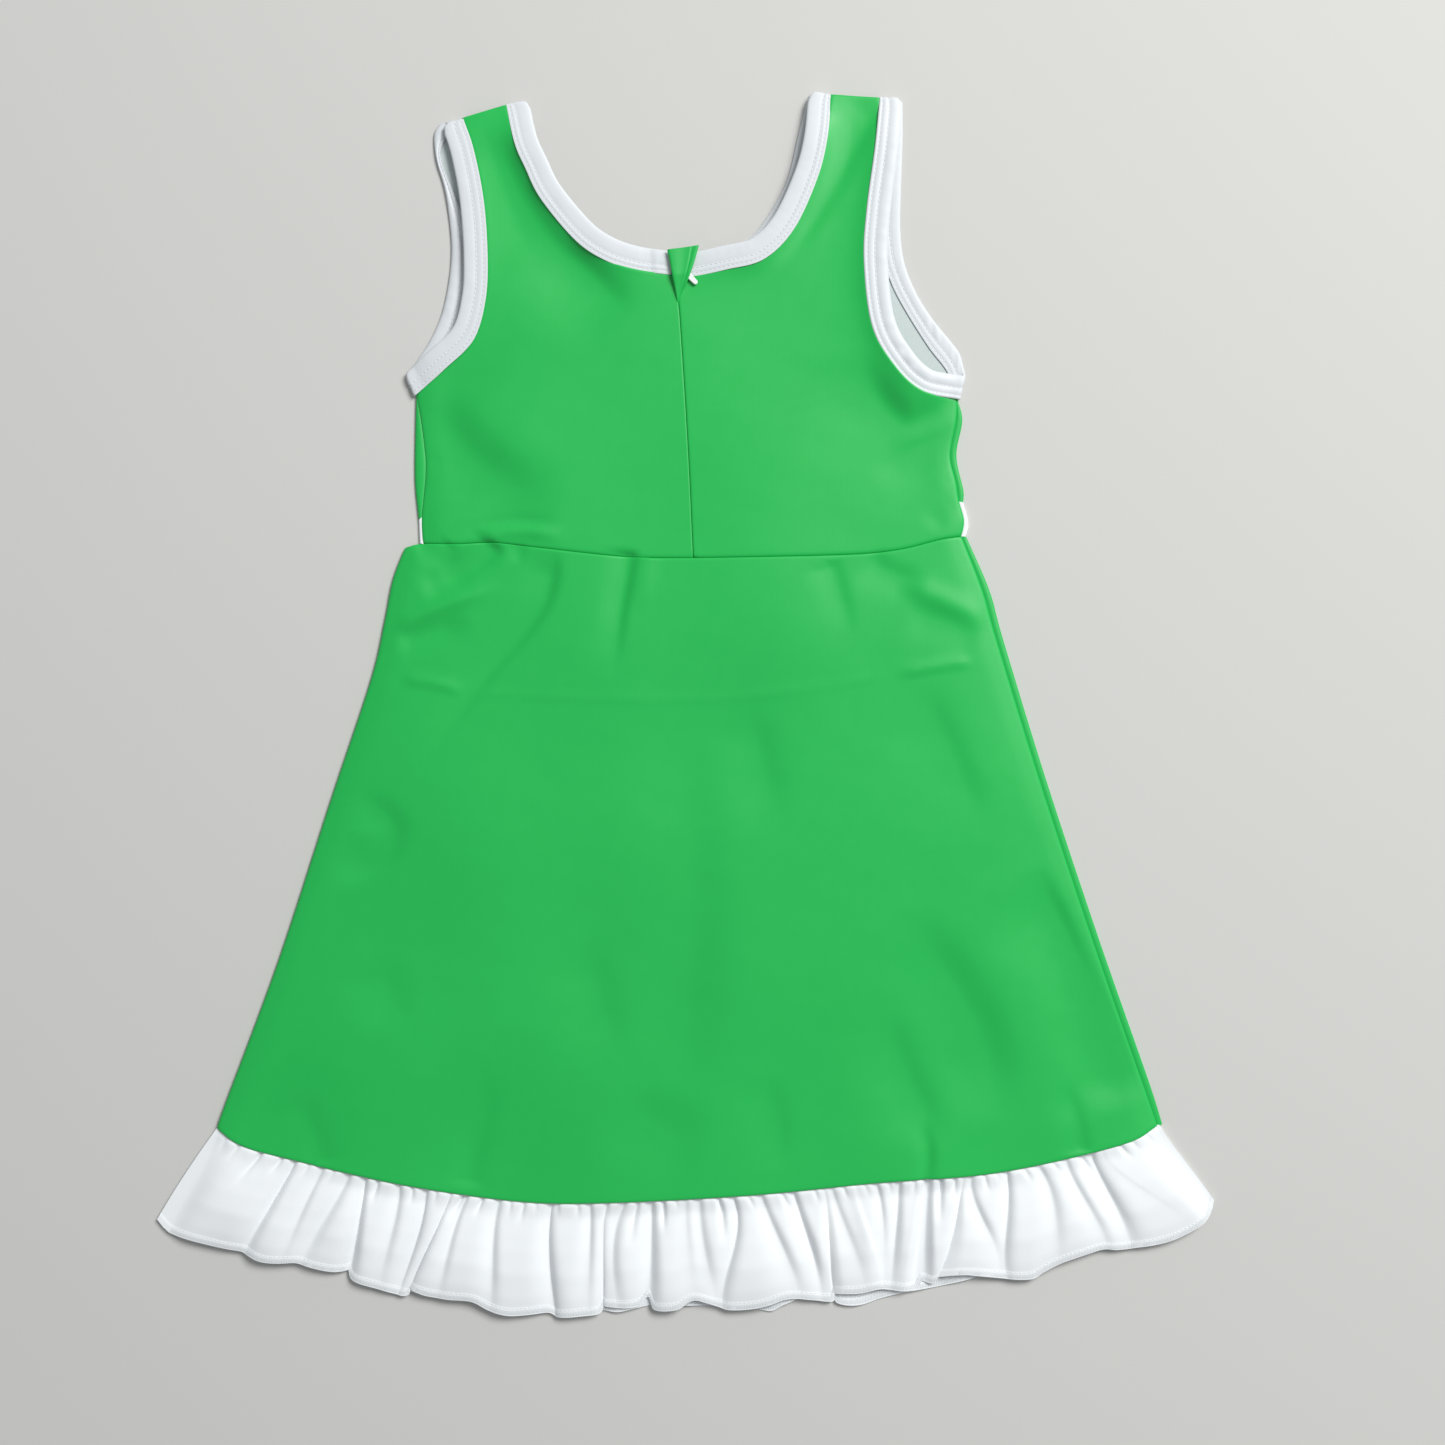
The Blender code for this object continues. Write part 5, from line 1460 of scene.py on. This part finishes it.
@dataclass
class Ruffle:
    """A gathered ruffle on one layer's hem, as a grid whose columns run from the seam to the hem."""

    node: str
    columns: int = 720
    depth: float = 52.0
    wall: float = WALL
    tuck: float = 2.6
    end_tuck: float = 0.5
    tuck_reach: float = 12.0
    hem_band: float = 3.6
    hem_rise: float = 0.22
    hem_run: float = 0.012
    cut_length: float = 760.0
    cut_depth: float = 60.0

    # How far in from the hem's edge its two kinds of stitch run
    SEWN = ((3.3, StitchKind.HEM_LINE), (1.6, StitchKind.OVERLOCK))

    def rows(self) -> np.ndarray:
        """Gives the rows' shares of the depth, close together at the seam and at the hem's band."""
        band = self.hem_band + 0.6
        top = np.linspace(0, 0.24, 12, endpoint=False)
        body = np.linspace(0.24, 1 - band / self.depth, 22, endpoint=False)
        foot = 1 - np.array((band, self.hem_band, 3.1, 2.2, 1.3, 0.5, 0.15, 0.0)) / self.depth
        return np.concatenate([top, body, foot])

    def plan(self, hem: Line, folds: Sequence[RuffleFold]) -> tuple[np.ndarray, np.ndarray, Callable]:
        """Lays the grid out flat along the slant of the folds.

        Args:
            hem: The hem's points.
            folds: The folds that the columns follow.

        Returns:
            The plan points, the columns' places along the seam, and a function that gives the x at each
            row of a place along the seam.
        """
        seam, foot = spline(HEM, 2.0), spline(hem, 1.0)
        share = self.rows()
        stations = (0.0, 1 / 3, 2 / 3, 1.0)
        left, right = np.array(RUFFLE_SIDE_LEFT), np.array(RUFFLE_SIDE_RIGHT)
        left[-1], right[-1] = foot[0], foot[-1]
        inner = [(fold.seam, fold.upper, fold.lower, fold.hem) for fold in folds]
        marks = np.array([left[:, 0], *inner, right[:, 0]]).T
        spread = np.column_stack([np.polyval(np.polyfit(stations, mark, 3), share) for mark in marks.T])

        def across(places: np.ndarray) -> np.ndarray:
            """Gives the x at each row of places along the seam."""
            return np.stack([np.interp(places, marks[0], spread[j]) for j in range(len(share))], axis=1)

        top_x = np.linspace(left[0, 0], right[0, 0], self.columns)
        x = across(top_x)
        from_end = np.minimum(top_x - top_x[0], top_x[-1] - top_x)
        tuck = self.end_tuck + (self.tuck - self.end_tuck) * eased(from_end / self.tuck_reach)
        seam_y = np.interp(top_x, seam[:, 0], seam[:, 1]) + tuck
        foot_y = np.interp(x[:, -1], foot[:, 0], foot[:, 1])
        y = seam_y[:, None] * (1 - share) + foot_y[:, None] * share
        return np.dstack([x, y]), top_x, across

    def shell(self, middle: np.ndarray) -> tuple[Surface, np.ndarray, np.ndarray]:
        """Gives a grid its wall, thicker in the hem's band.

        Args:
            middle: The grid of the wall's middle.

        Returns:
            The surface, the grid of the upper face, and its normals.
        """
        normal = np.cross(np.gradient(middle, axis=1), np.gradient(middle, axis=0))
        normal /= np.linalg.norm(normal, axis=2)[..., None]
        share = self.rows()
        thick = self.wall / 2 + self.hem_rise * eased((share - 1 + self.hem_band / self.depth) / self.hem_run)
        top, bottom = middle + normal * thick[None, :, None], middle - normal * thick[None, :, None]
        surface = Surface()
        surface.add_sheet(top, bottom)
        return surface, top, normal

    def finish(self, middle: np.ndarray, finishes: Finishes, sewing: Sewing,
               rests_on: tuple[str, ...]) -> None:
        """Makes the piece from its grid and sews its hem."""
        surface, top, normal = self.shell(middle)
        obj = surface.build(f"{self.node}_cloth", (finishes.white,))
        size = (self.cut_length, self.cut_depth)
        declare(obj, Cut("white_jersey", (self.node,), size, "gathered", rests_on))
        share, columns = self.rows(), range(4, self.columns - 4, 2)
        rows = []
        for inward, kind in self.SEWN:
            at = 1 - inward / self.depth
            path, ups = (np.array([[np.interp(at, share, grid[i, :, k]) for k in range(3)] for i in columns])
                         for grid in (top, normal))
            rows.append(StitchRow(path, ups, kind))
        sewing.sew(f"{self.node}_stitches", rows)


@dataclass
class BackRuffle(Ruffle):
    """The back layer's ruffle, which rises between its folds and drops at each of them.

    Heights, sizes and the reach of the ends are in millimetres. The other reaches and runs, and where they
    start, are shares of the ruffle's depth. lap and pinch scale those of each fold.
    """

    lift: float = 4.9
    floor: float = 1.9
    lowest: float = 1.3
    end_reach: float = 9.0
    end_small: float = 0.3
    narrow: float = 0.46
    widening: float = 0.9
    steep: float = 1.0
    gentle: float = 2.1
    lap: float = 0.6
    pinch: float = 0.35
    draw_from: float = 0.02
    draw_run: float = 0.12
    small_from: float = 0.025
    small_run: float = 0.045
    seam_drop: float = 1.4
    seam_reach: float = 0.2
    seam_puff: float = 1.0
    puff_reach: float = 0.16
    seam_notch: float = 3.0
    pucker: float = 0.25
    pucker_size: float = 7.0
    gather_depth: float = 2.5
    gather_left: float = 1.3
    gather_right: float = 0.95
    gather_widening: float = 2.4
    body: float = 0.6
    body_size: float = 46.0

    # Pairs of a share of the depth and how much of the lift the ruffle has there
    RISE = ((0.0, 0.0), (0.05, 0.04), (0.16, 0.28), (0.3, 0.6), (0.45, 0.85), (0.65, 1.0), (0.85, 0.82),
            (1.0, 0.5))

    def folded(self, x: np.ndarray, across: Callable) -> tuple[np.ndarray, np.ndarray]:
        """Works out the folds.

        Args:
            x: The grid's x.
            across: What gives the x at each row of a place along the seam.

        Returns:
            The share of the lift that is left at each point, and how far the cloth is drawn aside.
        """
        share = self.rows()
        puff, shift = np.ones(x.shape), np.zeros(x.shape)
        for fold in RUFFLE_FOLDS:
            depth = fold.depth + (fold.hem_depth - fold.depth) * share ** 0.9
            width = fold.width * (self.narrow + self.widening * share)
            steep, gentle, power = (1.0, 1.0, 4.0) if fold.flat else (self.steep, self.gentle, 2.0)
            away = x - across(np.array([fold.seam]))
            near = np.exp(-np.abs(away / (width * np.where(away < 0, gentle, steep))) ** power)
            puff *= 1 - np.clip(depth, -0.3, 0.97) * near
            lip = bell(away - np.sign(fold.lap) * width, 0.8 * width)
            drawn = self.lap * fold.lap * width * lip + self.pinch * fold.pinch * away * near
            shift -= np.clip(depth, 0, 1) * drawn
        return puff, shift

    def gathered(self, x: np.ndarray, puff: np.ndarray, across: Callable) -> np.ndarray:
        """Works out the small relief under the seam: gathers, puckers, and notches where folds start.

        Args:
            x: The grid's x.
            puff: The share of the lift that the folds leave.
            across: What gives the x at each row of a place along the seam.

        Returns:
            The height that it adds at each point.
        """
        share = self.rows()
        small = self.pucker * np.exp(-share / 0.10) * swell(x, 0 * x, self.pucker_size, seed=3)
        for gather in RUFFLE_GATHERS:
            away = x - across(np.array([gather.seam])) - gather.lean * share / gather.reach
            width = np.where(away < 0, self.gather_left, self.gather_right)
            near = bell(away, width * (1 + self.gather_widening * share))
            small -= self.gather_depth * gather.depth * eased(1.3 * (1 - share / gather.reach)) * near
        small += self.seam_puff * np.exp(-np.maximum(share - 0.05, 0) / self.puff_reach)
        small -= self.seam_notch * (1 - puff) * np.exp(-share / self.seam_reach)
        return small * eased((share - self.small_from) / self.small_run)

    def build(self, back: BackLayer, finishes: Finishes, sewing: Sewing) -> None:
        """Makes the ruffle on the back layer's hem."""
        plan, top_x, across = self.plan(BACK_RUFFLE_HEM, RUFFLE_FOLDS)
        x, y, share = plan[..., 0], plan[..., 1], self.rows()
        puff, shift = self.folded(x, across)
        from_end = np.minimum(top_x - top_x[0], top_x[-1] - top_x)
        ends = (1 - bell(from_end, self.end_reach))[:, None]
        seam_level = back.middle(x[:, 0], y[:, 0])[:, None] - self.seam_drop
        rest = (LAYER_SIDE + (self.floor - LAYER_SIDE) * (1 - bell(from_end, FOLD_CLEAR)))[:, None]
        base = rest + (seam_level - rest) * eased(1 - share / self.seam_reach)[None, :]
        small = self.gathered(x, puff, across)
        small += self.body * swell(x, y, self.body_size, seed=12) * share * ends
        height = base + self.lift * np.interp(share, *zip(*self.RISE)) * puff * ends
        height += small * (self.end_small + (1 - self.end_small) * ends)
        drawn = shift * eased((share - self.draw_from) / self.draw_run) * ends
        middle = np.dstack([x + drawn, y, np.maximum(height, self.lowest)])
        self.finish(middle, finishes, sewing, ("hem_ruffle_front",))


@dataclass
class FrontRuffle(Ruffle):
    """The front layer's ruffle, which lies on the ground in low waves."""

    columns: int = 360
    cut_length: float = 680.0
    waves: int = 19
    wave_height: float = 1.3
    seam_wave: float = 0.25
    wander: float = 1.3
    wander_size: float = 90.0

    def build(self, finishes: Finishes, sewing: Sewing) -> None:
        """Makes the ruffle."""
        plan, top_x, _ = self.plan(FRONT_RUFFLE_HEM, ())
        share = self.rows()
        turn = 2 * math.pi * self.waves * (top_x - top_x[0]) / (top_x[-1] - top_x[0])
        turn = turn + self.wander * swell(top_x, 0 * top_x, self.wander_size, seed=8)
        deep = self.wave_height * (self.seam_wave + (1 - self.seam_wave) * share)
        wave = (0.5 - 0.5 * np.cos(turn))[:, None] * deep[None, :]
        self.finish(np.dstack([plan, wave + self.wall / 2]), finishes, sewing, ())


@dataclass
class ZipTop:
    """The folded flap over the top of the zip, the slider under it and the slider's pull."""

    guard_top: float = 8.5
    flap_tip: float = 0.9
    flap_slope: float = 1.9
    flap_wall: float = 0.9
    flap_bulge: float = 0.25
    edge_drop: float = 0.55
    edge_reach: float = 0.9
    hem_share: float = 0.80
    hem_groove: float = 0.5
    hem_step: float = 0.25
    pull_length: float = 17.8
    pull_width: float = 3.9
    pull_tip: float = 2.5
    pull_thick: float = 1.0
    pull_eye: float = 1.1
    pull_level: float = 6.6
    pull_angle: float = -45.5
    bevel: float = 0.28

    FLAP_LEFT = ((-9.7, 234.6), (-8.4, 228.4), (-7.3, 222.0), (-6.2, 216.4), (-5.2, 211.0), (-4.5, 206.9))
    FLAP_RIGHT = ((6.7, 237.0), (4.8, 230.0), (2.7, 223.6), (0.4, 217.8), (-2.1, 212.6), (-4.3, 206.8))
    FLAP_CUT = Cut("green_jersey", ("zip_guard",), (16.0, 30.0), "folded", ("neck_binding",), 300.0)

    # The slider's outlines from its foot up, then its post's: width, length, height off its middle, and
    # how square the outline is, where 1 is an ellipse
    SLIDER = ((3.6, 7.2, -1.05, 0.45), (4.3, 7.9, -0.8, 0.45), (4.4, 8.0, -0.4, 0.45),
              (4.0, 7.6, -0.15, 0.45), (4.0, 7.6, 0.15, 0.45), (4.4, 8.0, 0.4, 0.45),
              (4.3, 7.9, 0.85, 0.45), (3.6, 7.2, 1.08, 0.45), (2.0, 2.0, 1.1, 1),
              (1.44, 1.44, 1.3, 1), (1.4, 1.4, 3.2, 1), (0.9, 0.9, 3.45, 1))

    def flap(self, back: BackLayer, finishes: Finishes) -> None:
        """Makes the flap: a folded triangle of the dress's cloth with a narrow hem on its right edge."""
        left, right = (resampled(spline(line, 1.0), 34)[None] for line in (self.FLAP_LEFT, self.FLAP_RIGHT))
        share = np.array((0.0, 0.015, 0.04, *np.linspace(0.08, 0.92, 20), 0.96, 0.985, 1.0))[:, None]
        plan = left * (1 - share[..., None]) + right * share[..., None]
        down = np.linspace(0, 1, plan.shape[1])[None, :]
        raised = np.clip(self.flap_slope * (1 - down), 0, 1)
        tip = back.rest(plan[..., 0], plan[..., 1]) + self.flap_tip
        height = tip * (1 - raised) + self.guard_top * raised
        width = np.linalg.norm(right - left, axis=2)
        from_edge = np.minimum(share, 1 - share) * width
        height = height - self.edge_drop * np.clip(1 - from_edge / self.edge_reach, 0, 1) ** 2
        past_hem = (share - self.hem_share) * width
        height = height - self.hem_groove * bell(past_hem, 0.4) - self.hem_step * eased(past_hem / 0.8)
        height = height + self.flap_bulge * np.sin(share * math.pi * 2.2 + 0.6) * (1 - down) ** 0.5
        surface = Surface()
        half = self.flap_wall / 2
        surface.add_sheet(np.dstack([plan, height + half]), np.dstack([plan, height - half]))
        declare(surface.build("zip_flap_cloth", (finishes.green,), 40.0), self.FLAP_CUT)

    def ring(self, radius: float, inward: float = 0.0) -> np.ndarray:
        """Gives the pull's outline round its eye, or a plain ring, moved inwards."""
        angle = 2 * math.pi * np.arange(40) / 40
        if radius > 0:
            return np.column_stack([np.cos(angle), np.sin(angle)]) * (radius - inward)
        wide, tip = self.pull_width / 2, self.pull_tip / 2
        reach = self.pull_length - wide - tip
        x = np.where(np.cos(angle) > 0, reach + tip * np.cos(angle), wide * np.cos(angle))
        y = np.where(np.cos(angle) > 0, tip, wide) * np.sin(angle)
        outline = np.column_stack([x, y])
        return inset(outline, inward) if inward else outline

    def pull(self, finishes: Finishes) -> None:
        """Makes the pull, which swings on the slider's post."""
        low, high = self.pull_level, self.pull_level + self.pull_thick
        eye, bevel = self.pull_eye, self.bevel
        rings = ((self.ring(0.0, bevel), low), (self.ring(0.0), low + bevel), (self.ring(0.0), high - bevel),
                 (self.ring(0.0, bevel), high), (self.ring(eye + bevel), high),
                 (self.ring(eye), high - bevel), (self.ring(eye), low + bevel), (self.ring(eye + bevel), low))
        turn = math.radians(self.pull_angle)
        matrix = np.array(((math.cos(turn), -math.sin(turn)), (math.sin(turn), math.cos(turn))))
        centre = np.array(SLIDER_CENTRE[:2])
        grid = np.stack([np.column_stack([ring @ matrix.T + centre, np.full(len(ring), level)])
                         for ring, level in rings], axis=1)
        surface = Surface()
        surface.add_tube(grid, True)
        obj = surface.build("zip_pull_tab", (finishes.plastic,), 35.0)
        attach(obj, "pull")
        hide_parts("zip_pull")
        report(obj)

    def slider(self, finishes: Finishes) -> None:
        """Makes the slider's body with rounded edges, two cheeks and its post."""
        angle = 2 * math.pi * np.arange(32) / 32
        rings = []
        for wide, long, level, power in self.SLIDER:
            across, along = (half * np.sign(part) * np.abs(part) ** power
                             for half, part in ((wide / 2, np.cos(angle)), (long / 2, np.sin(angle))))
            rings.append(np.column_stack([across, along, np.full(32, level)]) + np.array(SLIDER_CENTRE))
        surface = Surface()
        surface.add_tube(np.stack(rings), False)
        obj = surface.build("zip_slider_body", (finishes.plastic,), 35.0)
        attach(obj, "dress")
        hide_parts("zip_slider")
        report(obj)

    def build(self, back: BackLayer, finishes: Finishes) -> None:
        """Makes the three pieces."""
        self.flap(back, finishes)
        self.slider(finishes)
        self.pull(finishes)


@dataclass
class Studio:
    """The floor, the lights and the camera that looks straight down, as the photograph does."""

    camera_place: tuple[float, float, float] = (0.0192, -0.0099, 1.0476)
    lens: float = 50.0
    sensor: float = 36.0
    floor_size: float = 8.0
    floor_colour: Colour = (0.60, 0.595, 0.57)
    key_place: tuple[float, float, float] = (1.75, 1.70, 2.50)
    key_size: float = 1.5
    key_power: float = 130.0
    fill_strength: float = 0.35
    fill_colour: Colour = (0.93, 0.97, 1.0)
    clip: tuple[float, float] = (0.05, 20.0)

    def build(self) -> None:
        """Sets up the studio."""
        half = self.floor_size / 2
        mesh = bpy.data.meshes.new("floor")
        corners = [(-half, -half, 0), (half, -half, 0), (half, half, 0), (-half, half, 0)]
        mesh.from_pydata(corners, [], [(0, 1, 2, 3)])
        mesh.materials.append(Ground("pale floor", self.floor_colour).build())
        floor = bpy.data.objects.new("floor", mesh)
        bpy.context.scene.collection.objects.link(floor)
        world = bpy.data.worlds.new("studio")
        world.use_nodes = True
        backdrop = world.node_tree.nodes["Background"]
        backdrop.inputs["Color"].default_value = opaque(self.fill_colour)
        backdrop.inputs["Strength"].default_value = self.fill_strength
        bpy.context.scene.world = world
        bpy.context.scene.view_settings.view_transform = "Standard"
        self.key()
        self.camera()

    def key(self) -> None:
        """Adds the soft square light that faces the dress."""
        data = bpy.data.lights.new("key light", "AREA")
        data.size = self.key_size
        data.energy = self.key_power
        light = bpy.data.objects.new("key light", data)
        light.location = self.key_place
        light.rotation_euler = (-Vector(self.key_place)).to_track_quat("-Z", "Y").to_euler()
        bpy.context.scene.collection.objects.link(light)

    def camera(self) -> None:
        """Adds the camera and makes it the scene's."""
        data = bpy.data.cameras.new("camera")
        data.lens = self.lens
        data.sensor_width = self.sensor
        data.clip_start, data.clip_end = self.clip
        camera = bpy.data.objects.new("camera", data)
        camera.location = self.camera_place
        bpy.context.scene.collection.objects.link(camera)
        bpy.context.scene.camera = camera


def main() -> None:
    """Dresses the frame, piece by piece."""
    logging.basicConfig(level=logging.INFO, format="%(message)s")
    Studio().build()
    finishes = Finishes.make()
    sewing = Sewing(finishes.thread)
    back = BackLayer()
    back.build(finishes)
    FrontLayer().build(finishes)
    Bindings(back).build(finishes, sewing)
    BackRuffle("hem_ruffle_back").build(back, finishes, sewing)
    FrontRuffle("hem_ruffle_front").build(finishes, sewing)
    ZipTop().build(back, finishes)


if __name__ == "__main__":
    main()
